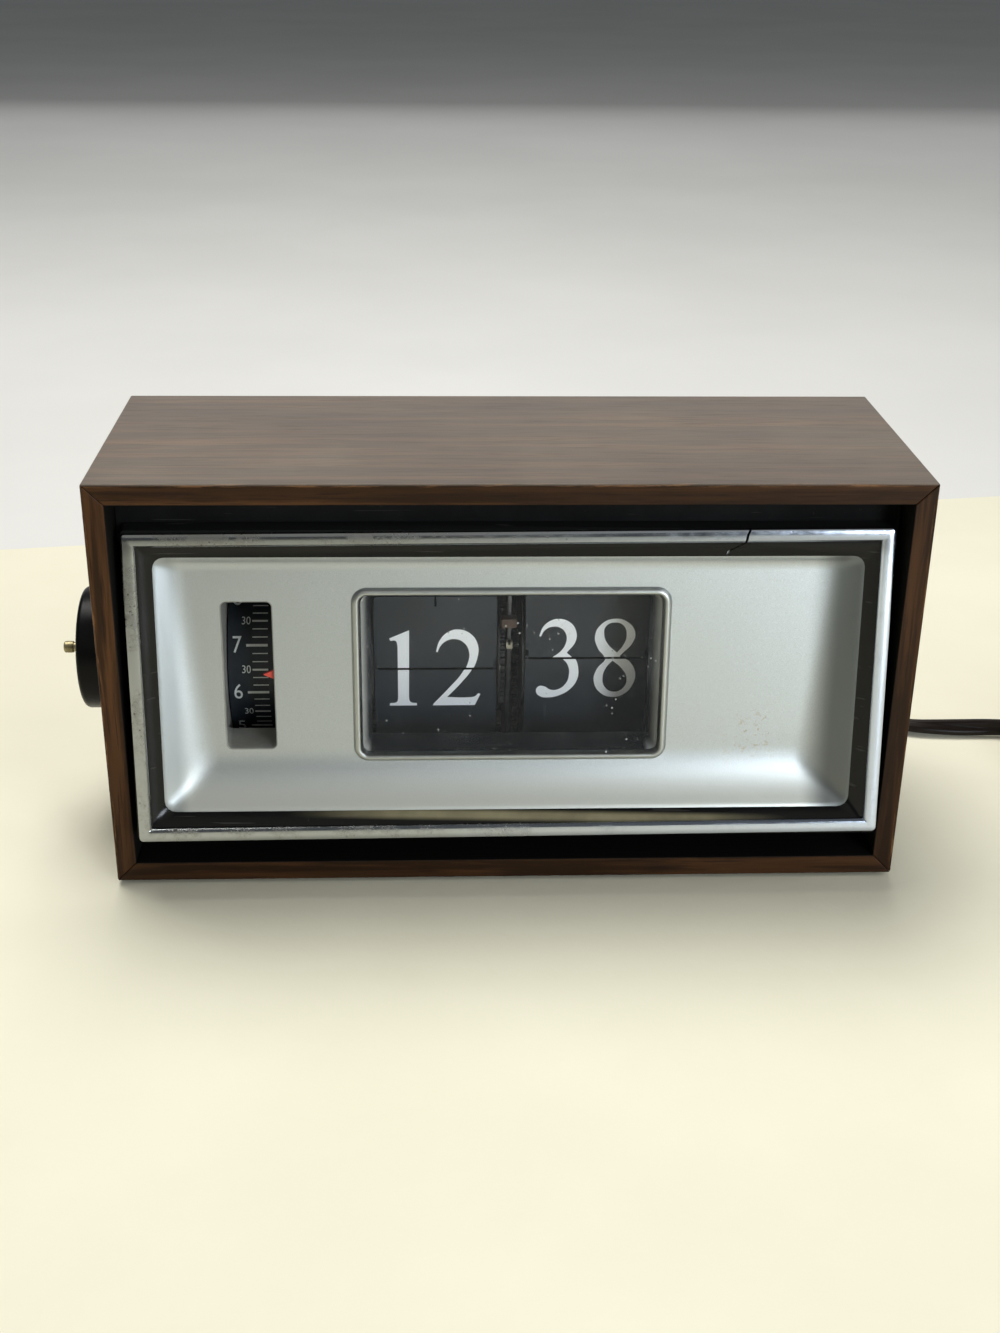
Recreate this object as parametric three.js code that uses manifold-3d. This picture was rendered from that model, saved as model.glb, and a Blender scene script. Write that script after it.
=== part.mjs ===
// A mains flip clock with an alarm: a mitred wooden case, a bezel that leans back, a dished silver
// dial with a window on two drums of flaps, and an alarm drum set by the knob on the left side.
// Millimetres. x runs to the right along the drum shaft, y runs from the front to the back, z is up.
// Pieces are placed with x = 0 in the middle of the case, y = 0 at its front and z = 0 under it;
// the whole is moved at the end so that the middle of its foot print is the origin.
import * as THREE from "three";
import { ConvexGeometry } from "three/addons/geometries/ConvexGeometry.js";
import { mergeVertices } from "three/addons/utils/BufferGeometryUtils.js";
import Module from "manifold-3d";

const wasm = await Module();
wasm.setup();

// ---------------------------------------------------------------- driving dimensions
const GAP = 0.3; // between pieces that touch or run in each other
const GLUE = 0.1; // between pieces that are glued together
const DEGREE = Math.PI / 180;

const CASE = { width: 216, height: 115, depth: 80, board: 5.6 };
const FOOT = { radius: 7, height: 1.5, inset: 16 };
const COVER = { margin: 2, thickness: 2 };

// The face of the bezel: a chrome ring that leans back over a dished dial.
const RING = { width: 200, height: 84.4, band: 3.5, thickness: 1.2, y: -1, z: 58.75, lean: 8.18 };
const FLANK = { flare: 1.2, rise: 2, depth: 10, wall: 1.8 };
const DIAL = { width: 186, height: 70.4, corner: 3, back: 3.7, drop: 0.48 };
const PANEL = { lean: 4.77, thickness: 1.2, rim: 4 };
// The dish in (inset from the end, y, z): its rim at the top and bottom, and where its walls meet the panel.
const DISH = {
  top: [0, 7.5, 92.6],
  head: [4.2, 9.35, 90.8],
  fold: [12, 4.27, 29.96],
  bottom: [0, -2.3, 22.9],
};
const WINDOW = { width: 84, height: 49.2, corner: 3.7, x: 0.4, z: 58.8, band: 1.8, front: 1.3, back: 2 };
const LENS = { front: -0.4, back: 0.8, play: 0.2 };
const SLOT = { left: -76, right: -62.9, bottom: 38.2, top: 79.8, corner: 1.5, wall: 1, back: 17 };
const POINTER = { length: 3, height: 2.7, thickness: 0.8, y: 8, z: 58.9 };

// The shaft that carries both flap drums and, in a sleeve, the alarm drum.
const AXIS = { y: 47.5, z: 49.6 };
const SHAFT = { radius: 1.7, left: -127, right: 57.2, neck: 1.35, neckFrom: 2.8, neckTo: 4, chamfer: 0.4 };
const SLEEVE = { bore: SHAFT.radius + GAP, radius: 3.5, left: -117.7, right: -48, hole: 5 };
const KNOB = { radius: 17.6, outer: -120.5, inner: -109.2, rim: 1.8, wall: 2, depth: 6 };
const ALARM_DRUM = { radius: 26, left: -77.9, right: -52, wall: 1.5, hub: 8 };
const ALARM_CAM = { radius: 12, left: -51.5, right: -48.5, notch: 3 };

// The flaps of both drums: half of the digits on each side of the split.
const FLAP = { length: 22.3, thickness: 0.5, y: 30, above: 0.15, below: 0.2, root: 16.3 };
const FLAP_RING = { radius: 16.6, wall: 1 };
const MINUTES = { left: 5.44, right: 40.1, split: 53.1, angle: 12.5, flaps: 60 };
const HOURS = { left: -37, right: -2.57, split: 50, angle: 2.5, flaps: 24 };
const SPOOL = { disc: 18.8, plate: 0.6, hub: 5, bore: SHAFT.radius + GAP, play: 0.3, sides: 24 };

// Gear pairs: 8 to 32 and 8 to 48 take the minute drum's turn down to one in a day,
// and 48 to 8 brings the motor's six turns an hour down to one.
const PINION_TEETH = 8;
const IDLER = { teeth: 32, wheelModule: 0.9625, pinionModule: 0.6875, reach: 19.25, angle: 20 };
const HOUR_WHEEL_TEETH = 48;
const DRIVE = { teeth: 48, module: 0.75, reach: 21, angle: 35, left: 46.6, right: 48.2 };
const CLUTCH = { springRadius: 7, spring: 1.5, collarRadius: 4.5, collar: 5 };
const STATOR = { front: 43, back: 77, bottom: 17, top: 78, left: 66, right: 74, limb: 12, leg: 5, arch: 49 };
const WINDING = { thickness: 8, inset: 6 };
const ROTOR_RADIUS = 13;
const REED = { foot: 8, sheet: 0.6, footSheet: 1.1, gap: 1, top: 74 };
const IDLER_AXLE = 1.6;
const MOTOR_AXLE = 1.5;
// Where the gears between the two drums stand along x.
const HOUR_WHEEL = { left: -1.5, right: -0.2 };
const HOUR_COLLAR = { left: -2.2, right: -1 };
const IDLER_PINION = { left: -1.4, right: -0.2 };
const IDLER_WHEEL = { left: 2.4, right: 4 };
const MINUTE_PINION_LEFT = 2.5;

// Sheet steel frame of the movement.
const SHEET = 1.2;
const FRAME = { base: 6, front: 22, back: 74, top: 90, right: 84 };
const BRACKET = { half: 10, above: 10 };
const CENTRE_PLATE = { front: 10, back: 16, above: 7 };
const MOTOR_PLATE_ABOVE = 12;
const PLATES = { end: -98, left: -45.2, centre: 0.4, right: 43.6, motor: 55.4 };
const CROSSBAR = { y: 38, z: 82, side: 4 };
const CATCH = { sheet: 1, width: 2, rise: 3, clearance: 0.4 };
const TIE_ROD = { y: 71, z: 14, radius: 2 };
const ALARM_ROD = { y: 26, z: 14, radius: 1.5, left: -51, right: 68 };
const ALARM_ARM = { width: 2, height: 3, camTip: [38, 38.5], reedTip: [39.2, 32] };

// Mains lead: a flat twin cord.
const CORD_RADIUS = 1.5;
const CONDUCTOR_RADIUS = 1.2;
const RELIEF = { x: 48, z: 16, length: 22, base: 6, tip: 3.4, hole: 4.4, clearance: 8 };
const COIL = { x: 208, y: 46.3, radius: 30.05, band: 12.6, bottom: 1, height: 11.6 };
const TIE = { width: 4, angle: -120 };
const PLUG = { length: 28, lift: 6.5 };
const BLADE = { spacing: 12.7, width: 6.3, thickness: 1.5, length: 16 };

// ---------------------------------------------------------------- materials
function material(color, roughness, metalness = 0) {
  return new THREE.MeshStandardMaterial({ color, roughness, metalness });
}

const WALNUT = material(0x5a3a26, 0.5);
const BLACK_PLASTIC = material(0x1c1a18, 0.35);
const CHROME = material(0xc9cccb, 0.15, 1);
const SILVER = material(0xbcc4c0, 0.35, 0.6);
const CLEAR = material(0xdfe6e6, 0.05);
const RED = material(0xc8322a, 0.4);
const STEEL = material(0x9c9d9a, 0.35, 1);
const BRASS = material(0xb08d4a, 0.3, 1);
const CHARCOAL = material(0x3a3f45, 0.6);
const CREAM_PLASTIC = material(0xd9d2bd, 0.5);
const COPPER = material(0x9a5a33, 0.4, 0.8);
const BROWN_VINYL = material(0x2c1913, 0.45);
const RUBBER = material(0x2a2826, 0.8);

// ---------------------------------------------------------------- solids
function toSolid(geometry) {
  const bare = geometry.clone();
  bare.deleteAttribute("normal");
  bare.deleteAttribute("uv");
  const merged = mergeVertices(bare, 1e-4);
  return new wasm.Manifold(
    new wasm.Mesh({
      numProp: 3,
      vertProperties: new Float32Array(merged.attributes.position.array),
      triVerts: new Uint32Array(merged.index.array),
    }),
  );
}

function toGeometry(solid) {
  const mesh = solid.getMesh();
  const geometry = new THREE.BufferGeometry();
  geometry.setAttribute("position", new THREE.BufferAttribute(mesh.vertProperties, 3));
  geometry.setIndex(new THREE.BufferAttribute(mesh.triVerts, 1));
  return geometry;
}

function join(...geometries) {
  return toGeometry(geometries.map(toSolid).reduce((whole, next) => whole.add(next)));
}

function cut(geometry, ...tools) {
  return toGeometry(tools.map(toSolid).reduce((whole, tool) => whole.subtract(tool), toSolid(geometry)));
}

function common(a, b) {
  return toGeometry(toSolid(a).intersect(toSolid(b)));
}

function box(x0, x1, y0, y1, z0, z1) {
  return new THREE.BoxGeometry(x1 - x0, y1 - y0, z1 - z0).translate(
    (x0 + x1) / 2,
    (y0 + y1) / 2,
    (z0 + z1) / 2,
  );
}

// A rod along x around the point (y, z).
function rod(radius, x0, x1, y, z, sides = 16) {
  return new THREE.CylinderGeometry(radius, radius, x1 - x0, sides)
    .rotateZ(-Math.PI / 2)
    .translate((x0 + x1) / 2, y, z);
}

// A turned piece along x: its profile is a list of [radius, x] that closes on itself or on the axis.
function turned(profile, sides, y = AXIS.y, z = AXIS.z) {
  const points = profile.map(([radius, x]) => new THREE.Vector2(radius, x));
  return new THREE.LatheGeometry(points, sides).rotateZ(-Math.PI / 2).translate(0, y, z);
}

// A plate across x: an outline in (y, z), with its thickness from x0 to x1.
function plateAcross(shape, x0, x1) {
  const turn = new THREE.Matrix4().makeBasis(
    new THREE.Vector3(0, 1, 0),
    new THREE.Vector3(0, 0, 1),
    new THREE.Vector3(1, 0, 0),
  );
  return new THREE.ExtrudeGeometry(shape, { depth: x1 - x0, bevelEnabled: false, curveSegments: 6 })
    .applyMatrix4(turn)
    .translate(x0, 0, 0);
}

// A plate that faces the front: an outline in (x, z), with its thickness from y0 to y1.
function plateFacing(shape, y0, y1, curveSegments = 4) {
  const turn = new THREE.Matrix4().makeBasis(
    new THREE.Vector3(1, 0, 0),
    new THREE.Vector3(0, 0, 1),
    new THREE.Vector3(0, -1, 0),
  );
  return new THREE.ExtrudeGeometry(shape, { depth: y1 - y0, bevelEnabled: false, curveSegments })
    .applyMatrix4(turn)
    .translate(0, y1, 0);
}

function polygon(points) {
  return new THREE.Shape(points.map(([a, b]) => new THREE.Vector2(a, b)));
}

function roundedRectangle(width, height, radius, x = 0, z = 0) {
  const [right, top] = [width / 2 - radius, height / 2 - radius];
  const shape = new THREE.Shape();
  shape.absarc(x + right, z + top, radius, 0, Math.PI / 2);
  shape.absarc(x - right, z + top, radius, Math.PI / 2, Math.PI);
  shape.absarc(x - right, z - top, radius, Math.PI, 1.5 * Math.PI);
  shape.absarc(x + right, z - top, radius, 1.5 * Math.PI, 2 * Math.PI);
  shape.closePath();
  return shape;
}

// A closed solid through rounded rectangles that stand one behind the other along y.
function loft(sections, cornerSteps = 4) {
  const rings = sections.map(({ y, width, height, radius, z = 0 }) => {
    const points = [];
    for (let corner = 0; corner < 4; corner += 1) {
      const sideX = corner === 0 || corner === 3 ? 1 : -1;
      const sideZ = corner < 2 ? 1 : -1;
      for (let step = 0; step <= cornerSteps; step += 1) {
        const angle = (corner + step / cornerSteps) * (Math.PI / 2);
        points.push([
          sideX * (width / 2 - radius) + radius * Math.cos(angle),
          y,
          z + sideZ * (height / 2 - radius) + radius * Math.sin(angle),
        ]);
      }
    }
    return points;
  });
  const around = rings[0].length;
  const triangles = [];
  for (let ring = 0; ring + 1 < rings.length; ring += 1) {
    for (let i = 0; i < around; i += 1) {
      const j = (i + 1) % around;
      const [a, b] = [ring * around + i, ring * around + j];
      triangles.push(a, a + around, b, b, a + around, b + around);
    }
  }
  const last = (rings.length - 1) * around;
  for (let i = 1; i + 1 < around; i += 1) {
    triangles.push(0, i, i + 1, last, last + i + 1, last + i);
  }
  const geometry = new THREE.BufferGeometry();
  geometry.setAttribute("position", new THREE.Float32BufferAttribute(rings.flat(2), 3));
  geometry.setIndex(triangles);
  return geometry;
}

// A spur gear along x with straight-sided teeth; the middle of a tooth is at the angle phase,
// measured from +y towards +z.
function gear(teeth, module, x0, x1, y, z, phase = 0) {
  const pitch = (teeth * module) / 2;
  const [root, tip] = [pitch - module, pitch + 0.8 * module];
  const step = (2 * Math.PI) / teeth;
  const [rootHalf, tipHalf] = [0.27 * step, 0.11 * step];
  const outline = [];
  for (let tooth = 0; tooth < teeth; tooth += 1) {
    const middle = phase + tooth * step;
    for (const [radius, angle] of [
      [root, middle - rootHalf],
      [tip, middle - tipHalf],
      [tip, middle + tipHalf],
      [root, middle + rootHalf],
    ]) {
      outline.push([radius * Math.cos(angle), radius * Math.sin(angle)]);
    }
  }
  return plateAcross(polygon(outline), x0, x1).translate(0, y, z);
}

// The point at a distance from the shaft, at an angle behind straight down.
function besideShaft(reach, angle) {
  return {
    y: AXIS.y + reach * Math.sin(angle * DEGREE),
    z: AXIS.z - reach * Math.cos(angle * DEGREE),
    direction: (angle - 90) * DEGREE,
  };
}

// ---------------------------------------------------------------- the assembly
const clock = new THREE.Group();
const mainsLead = new THREE.Group();

function piece(name, geometry, look, parent = clock) {
  const mesh = new THREE.Mesh(geometry, look);
  mesh.name = name;
  parent.add(mesh);
  return mesh;
}

const INNER = { x: CASE.width / 2 - CASE.board, bottom: CASE.board, top: CASE.height - CASE.board };
const COVER_FRONT = CASE.depth + GLUE;
const COVER_BACK = COVER_FRONT + COVER.thickness;
const SCREW = { x: 90, radius: 1.1, head: 2, headHeight: 1.4, length: 12, inset: 3.4 };
const SCREW_ROWS = { lower: SCREW.inset, upper: CASE.height - SCREW.inset };

// ---------------------------------------------------------------- case
function screwHole(x, z) {
  return new THREE.CylinderGeometry(SCREW.radius + GAP, SCREW.radius + GAP, 2 * SCREW.length, 8).translate(
    x,
    CASE.depth,
    z,
  );
}

function board(outline) {
  return plateFacing(polygon(outline), 0, CASE.depth);
}

function buildCase() {
  const [half, height] = [CASE.width / 2, CASE.height];
  const lower = cut(
    board([[-half, 0], [half, 0], [INNER.x, INNER.bottom], [-INNER.x, INNER.bottom]]),
    screwHole(-SCREW.x, SCREW_ROWS.lower),
    screwHole(SCREW.x, SCREW_ROWS.lower),
  );
  const upper = cut(
    board([[-INNER.x, INNER.top], [INNER.x, INNER.top], [half, height], [-half, height]]),
    screwHole(-SCREW.x, SCREW_ROWS.upper),
    screwHole(SCREW.x, SCREW_ROWS.upper),
  );
  const right = board([
    [INNER.x, INNER.bottom + GLUE],
    [half, GLUE],
    [half, height - GLUE],
    [INNER.x, INNER.top - GLUE],
  ]);
  const left = cut(
    board([
      [-half, GLUE],
      [-INNER.x, INNER.bottom + GLUE],
      [-INNER.x, INNER.top - GLUE],
      [-half, height - GLUE],
    ]),
    rod(SLEEVE.hole, -half - 1, -INNER.x + 1, AXIS.y, AXIS.z, 20),
  );
  piece("case_bottom", lower, WALNUT);
  piece("case_top", upper, WALNUT);
  piece("case_left", left, WALNUT);
  piece("case_right", right, WALNUT);
}

function buildFeet() {
  for (const [across, x] of [["left", FOOT.inset - CASE.width / 2], ["right", CASE.width / 2 - FOOT.inset]]) {
    for (const [along, y] of [["front", FOOT.inset], ["rear", CASE.depth - FOOT.inset]]) {
      const pad = new THREE.CylinderGeometry(FOOT.radius, FOOT.radius, FOOT.height - GLUE, 20)
        .rotateX(Math.PI / 2)
        .translate(x, y, -(FOOT.height + GLUE) / 2);
      piece(`foot_${along}_${across}`, pad, RUBBER);
    }
  }
}

// ---------------------------------------------------------------- rear cover and its controls
const VENT = { count: 9, pitch: 7, width: 3, bottom: 66, top: 96, middle: 52 };
const SWITCH = { x: -63, z: 88, travel: 6, stem: [4, 3], cap: [9, 6], proud: 4, plate: 1.5 };
const COVER_CORNER = 2;

function buildRearCover() {
  const width = CASE.width - 2 * COVER.margin;
  const height = CASE.height - 2 * COVER.margin;
  const outline = roundedRectangle(width, height, COVER_CORNER, 0, CASE.height / 2);
  const sheet = plateFacing(outline, COVER_FRONT, COVER_BACK);
  const holes = [-SCREW.x, SCREW.x].flatMap((x) => Object.values(SCREW_ROWS).map((z) => screwHole(x, z)));
  for (let i = 0; i < VENT.count; i += 1) {
    const left = VENT.middle + (i - (VENT.count - 1) / 2) * VENT.pitch - VENT.width / 2;
    holes.push(box(left, left + VENT.width, COVER_FRONT - 1, COVER_BACK + 1, VENT.bottom, VENT.top));
  }
  const [stemX, stemZ] = SWITCH.stem;
  const off = SWITCH.x - stemX / 2 - GAP;
  const on = SWITCH.x + stemX / 2 + SWITCH.travel + GAP;
  const half = stemZ / 2 + GAP;
  holes.push(
    box(off, on, COVER_FRONT - 1, COVER_BACK + 1, SWITCH.z - half, SWITCH.z + half),
    new THREE.CylinderGeometry(RELIEF.hole + GAP, RELIEF.hole + GAP, 10, 16).translate(
      RELIEF.x,
      COVER_BACK,
      RELIEF.z,
    ),
  );
  piece("rear_cover", cut(sheet, ...holes), BLACK_PLASTIC);

  for (const [across, x] of [["left", -SCREW.x], ["right", SCREW.x]]) {
    for (const [row, z] of Object.entries(SCREW_ROWS)) {
      const profile = [
        [0, COVER_BACK - SCREW.length],
        [SCREW.radius * 0.5, COVER_BACK - SCREW.length],
        [SCREW.radius, COVER_BACK - SCREW.length + 2],
        [SCREW.radius, COVER_BACK + GLUE],
        [SCREW.head, COVER_BACK + GLUE],
        [SCREW.head * 0.7, COVER_BACK + SCREW.headHeight],
        [0, COVER_BACK + SCREW.headHeight],
      ].map(([radius, y]) => new THREE.Vector2(radius, y));
      piece(`rear_screw_${row}_${across}`, new THREE.LatheGeometry(profile, 10).translate(x, 0, z), STEEL);
    }
  }
}

function buildAlarmSwitch() {
  const [stemX, stemZ] = SWITCH.stem;
  const [capX, capZ] = SWITCH.cap;
  const stem = box(
    SWITCH.x - stemX / 2,
    SWITCH.x + stemX / 2,
    COVER_FRONT - GAP - 1,
    COVER_BACK + 1,
    SWITCH.z - stemZ / 2,
    SWITCH.z + stemZ / 2,
  );
  const plate = (front, back) =>
    box(SWITCH.x - capX / 2, SWITCH.x + capX / 2, front, back, SWITCH.z - capZ / 2, SWITCH.z + capZ / 2);
  piece(
    "alarm_switch",
    join(
      stem,
      plate(COVER_BACK + GAP, COVER_BACK + SWITCH.proud),
      plate(COVER_FRONT - GAP - SWITCH.plate, COVER_FRONT - GAP),
    ),
    BLACK_PLASTIC,
  );
}

// ---------------------------------------------------------------- bezel and chrome ring
const leaning = new THREE.Group(); // y = 0 is the front of the chrome ring, z = 0 its middle
leaning.position.set(0, RING.y, RING.z);
leaning.rotation.x = -RING.lean * DEGREE;

const FLANGE = { front: 12, back: 14.2 };
const BEZEL_PLAY = 0.4; // the bezel is wider than its ring
const DIAL_PLAY = 0.35; // from the bezel to the dial's rim

function leanBack(geometry) {
  return geometry.rotateX(-RING.lean * DEGREE).translate(0, RING.y, RING.z);
}

function buildBezel() {
  const front = RING.thickness + GLUE;
  const rear = front + FLANK.depth;
  const far = 40;
  const start = { width: RING.width + BEZEL_PLAY, height: RING.height + BEZEL_PLAY, radius: 1 };
  const wide = {
    width: start.width + 2 * FLANK.flare,
    height: start.height + 2 * FLANK.rise,
    radius: 1.5,
  };
  const outside = leanBack(loft([{ y: front, ...start }, { y: rear, ...wide }, { y: far, ...wide }]));
  const pocket = {
    width: wide.width - 2 * (FLANK.wall + FLANK.flare),
    height: wide.height - 2 * (FLANK.wall + FLANK.rise),
    radius: 1,
  };
  const opening = {
    width: start.width - 2 * RING.band,
    height: start.height - 2 * RING.band,
    radius: 0.6,
  };
  const boundary = { width: DIAL.width, height: DIAL.height, radius: DIAL.corner, z: -DIAL.drop };
  const mouth = leanBack(
    loft([
      { y: front - 1, ...opening },
      { y: front, ...opening },
      { y: DIAL.back, ...boundary },
      { y: DIAL.back + 3, ...boundary },
    ]),
  );
  const inside = leanBack(loft([{ y: DIAL.back + 0.2, ...pocket }, { y: far + 1, ...pocket }]));
  const ahead = box(-CASE.width, CASE.width, -CASE.depth, FLANGE.back, -CASE.height, 2 * CASE.height);
  const flange = box(
    -INNER.x + GAP,
    INNER.x - GAP,
    FLANGE.front,
    FLANGE.back,
    INNER.bottom + GAP,
    INNER.top - GAP,
  );
  piece("bezel", cut(join(common(outside, ahead), flange), mouth, inside), BLACK_PLASTIC);
}

function buildChromeTrim() {
  const ring = roundedRectangle(RING.width, RING.height, 1);
  ring.holes.push(roundedRectangle(RING.width - 2 * RING.band, RING.height - 2 * RING.band, 0.5));
  piece("chrome_trim", plateFacing(ring, 0, RING.thickness, 3), CHROME, leaning);
  clock.add(leaning);
}

// ---------------------------------------------------------------- dial
// The hollow of the dish: four corners at each end, two on its rim and two on the panel.
function dish(back) {
  const corners = Object.values(DISH).flatMap(([inset, y, z]) => {
    const x = DIAL.width / 2 - inset;
    return [new THREE.Vector3(x, y + back, z), new THREE.Vector3(-x, y + back, z)];
  });
  return new ConvexGeometry(corners);
}

// The middle of the window in the panel's own plane.
const windowY = DISH.fold[1] + (WINDOW.z - DISH.fold[2]) * Math.tan(PANEL.lean * DEGREE);

function inPanel(geometry) {
  return geometry.rotateX(-PANEL.lean * DEGREE).translate(WINDOW.x, windowY, WINDOW.z);
}

function buildDial() {
  const rim = {
    width: DIAL.width + PANEL.rim,
    height: DIAL.height + PANEL.rim,
    radius: DIAL.corner,
    z: -DIAL.drop,
  };
  const front = DIAL.back + DIAL_PLAY;
  const slab = leanBack(loft([{ y: front, ...rim }, { y: front + PANEL.thickness, ...rim }]));
  const slotMiddle = [(SLOT.left + SLOT.right) / 2, (SLOT.bottom + SLOT.top) / 2];
  const [slotWidth, slotHeight] = [SLOT.right - SLOT.left, SLOT.top - SLOT.bottom];
  const tunnel = plateFacing(
    roundedRectangle(slotWidth + 2 * SLOT.wall, slotHeight + 2 * SLOT.wall, SLOT.corner, ...slotMiddle),
    DISH.fold[1],
    SLOT.back,
  );
  const slotHole = plateFacing(
    roundedRectangle(slotWidth, slotHeight, SLOT.corner, ...slotMiddle),
    -SLOT.back,
    2 * SLOT.back,
  );
  const windowHole = inPanel(
    plateFacing(
      roundedRectangle(WINDOW.width + GAP, WINDOW.height + GAP, WINDOW.corner),
      -SLOT.back,
      SLOT.back,
    ),
  );
  const ahead = leanBack(
    box(-RING.width, RING.width, -CASE.depth, DIAL.back, -RING.height, RING.height),
  );
  piece(
    "dial_panel",
    cut(join(dish(PANEL.thickness), slab, tunnel), dish(0), ahead, slotHole, windowHole),
    SILVER,
  );
}

function buildWindow() {
  const inner = { width: WINDOW.width - 2 * WINDOW.band, height: WINDOW.height - 2 * WINDOW.band };
  const frame = roundedRectangle(WINDOW.width, WINDOW.height, WINDOW.corner);
  frame.holes.push(roundedRectangle(inner.width, inner.height, WINDOW.corner - WINDOW.band));
  piece("window_rim", inPanel(plateFacing(frame, -WINDOW.front, WINDOW.back)), SILVER);
  const pane = roundedRectangle(
    inner.width - 2 * LENS.play,
    inner.height - 2 * LENS.play,
    WINDOW.corner - WINDOW.band,
  );
  piece("window_lens", inPanel(plateFacing(pane, LENS.front, LENS.back)), CLEAR);
}

function buildPointer() {
  const base = SLOT.right - GLUE;
  const arrow = polygon([
    [base - POINTER.length, POINTER.z],
    [base, POINTER.z - POINTER.height / 2],
    [base, POINTER.z + POINTER.height / 2],
  ]);
  piece("alarm_pointer", plateFacing(arrow, POINTER.y, POINTER.y + POINTER.thickness), RED);
}

// ---------------------------------------------------------------- movement frame
function shaftHole(radius, x0) {
  return rod(radius + GAP, x0 - 1, x0 + SHEET + 1, AXIS.y, AXIS.z, 16);
}

function framePlate(x0, y0, y1, top, ...holes) {
  return cut(box(x0, x0 + SHEET, y0, y1, FRAME.base + SHEET + GLUE, top), ...holes);
}

function buildFrame() {
  const alarmHole = (x0) =>
    rod(ALARM_ROD.radius + GAP, x0 - 1, x0 + SHEET + 1, ALARM_ROD.y, ALARM_ROD.z, 12);
  const idler = besideShaft(IDLER.reach, IDLER.angle);
  const motor = besideShaft(DRIVE.reach, DRIVE.angle);
  const base = box(PLATES.end, FRAME.right, FRAME.front, FRAME.back, FRAME.base, FRAME.base + SHEET);
  const reliefClearance = box(
    RELIEF.x - RELIEF.clearance,
    RELIEF.x + RELIEF.clearance,
    FRAME.back - RELIEF.clearance,
    FRAME.back + 1,
    0,
    AXIS.z,
  );
  piece("chassis_base", cut(base, reliefClearance), STEEL);
  piece(
    "end_bracket",
    framePlate(
      PLATES.end,
      AXIS.y - BRACKET.half,
      AXIS.y + BRACKET.half,
      AXIS.z + BRACKET.above,
      shaftHole(SLEEVE.radius, PLATES.end),
    ),
    STEEL,
  );
  piece(
    "frame_plate_left",
    framePlate(
      PLATES.left,
      FRAME.front,
      FRAME.back,
      FRAME.top,
      shaftHole(SHAFT.radius, PLATES.left),
      alarmHole(PLATES.left),
    ),
    STEEL,
  );
  piece(
    "centre_plate",
    framePlate(
      PLATES.centre,
      AXIS.y - CENTRE_PLATE.front,
      AXIS.y + CENTRE_PLATE.back,
      AXIS.z + CENTRE_PLATE.above,
      shaftHole(SHAFT.radius, PLATES.centre),
      rod(IDLER_AXLE + GAP, PLATES.centre - 1, PLATES.centre + SHEET + 1, idler.y, idler.z, 12),
    ),
    STEEL,
  );
  piece(
    "frame_plate_right",
    framePlate(
      PLATES.right,
      FRAME.front,
      FRAME.back,
      FRAME.top,
      shaftHole(SHAFT.radius, PLATES.right),
      alarmHole(PLATES.right),
    ),
    STEEL,
  );
  piece(
    "motor_plate",
    framePlate(
      PLATES.motor,
      FRAME.front,
      FRAME.back,
      AXIS.z + MOTOR_PLATE_ABOVE,
      shaftHole(SHAFT.radius, PLATES.motor),
      alarmHole(PLATES.motor),
      rod(MOTOR_AXLE + GAP, PLATES.motor - 1, PLATES.motor + SHEET + 1, motor.y, motor.z, 12),
    ),
    STEEL,
  );
  const [from, to] = [PLATES.left + SHEET + GLUE, PLATES.right - GLUE];
  piece(
    "top_crossbar",
    box(from, to, CROSSBAR.y, CROSSBAR.y + CROSSBAR.side, CROSSBAR.z, CROSSBAR.z + CROSSBAR.side),
    STEEL,
  );
  piece("rear_tie_rod", rod(TIE_ROD.radius, from, to, TIE_ROD.y, TIE_ROD.z, 12), STEEL);
}

// ---------------------------------------------------------------- shaft, spools and flaps
function buildShaft() {
  const { radius, left, right, neck, neckFrom, neckTo, chamfer } = SHAFT;
  const profile = [
    [0, left],
    [radius - chamfer, left],
    [radius, left + chamfer],
    [radius, left + neckFrom],
    [neck, left + neckFrom],
    [neck, left + neckTo],
    [radius, left + neckTo],
    [radius, right],
    [0, right],
  ];
  piece("drum_shaft", turned(profile, 14), BRASS);
}

function washer(outer, x0, x1, sides = 20) {
  return turned(
    [
      [SPOOL.bore, x0],
      [outer, x0],
      [outer, x1],
      [SPOOL.bore, x1],
      [SPOOL.bore, x0],
    ],
    sides,
  );
}

function spool(drum) {
  const [left, right] = [drum.left - SPOOL.play, drum.right + SPOOL.play];
  return turned(
    [
      [SPOOL.bore, left - SPOOL.plate],
      [SPOOL.disc, left - SPOOL.plate],
      [SPOOL.disc, left],
      [SPOOL.hub, left],
      [SPOOL.hub, right],
      [SPOOL.disc, right],
      [SPOOL.disc, right + SPOOL.plate],
      [SPOOL.bore, right + SPOOL.plate],
      [SPOOL.bore, left - SPOOL.plate],
    ],
    SPOOL.sides,
  );
}

// One hidden flap: a thin plate that leaves the ring at an angle of the drum and points its own way.
// Angles are in degrees up from the front.
function hiddenFlap(drum, at, pointing) {
  const turn = -pointing * DEGREE;
  return box(drum.left, drum.right, -FLAP.length, 0, -FLAP.thickness / 2, FLAP.thickness / 2)
    .rotateX(turn)
    .translate(0, AXIS.y - FLAP.root * Math.cos(at * DEGREE), AXIS.z + FLAP.root * Math.sin(at * DEGREE));
}

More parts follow.
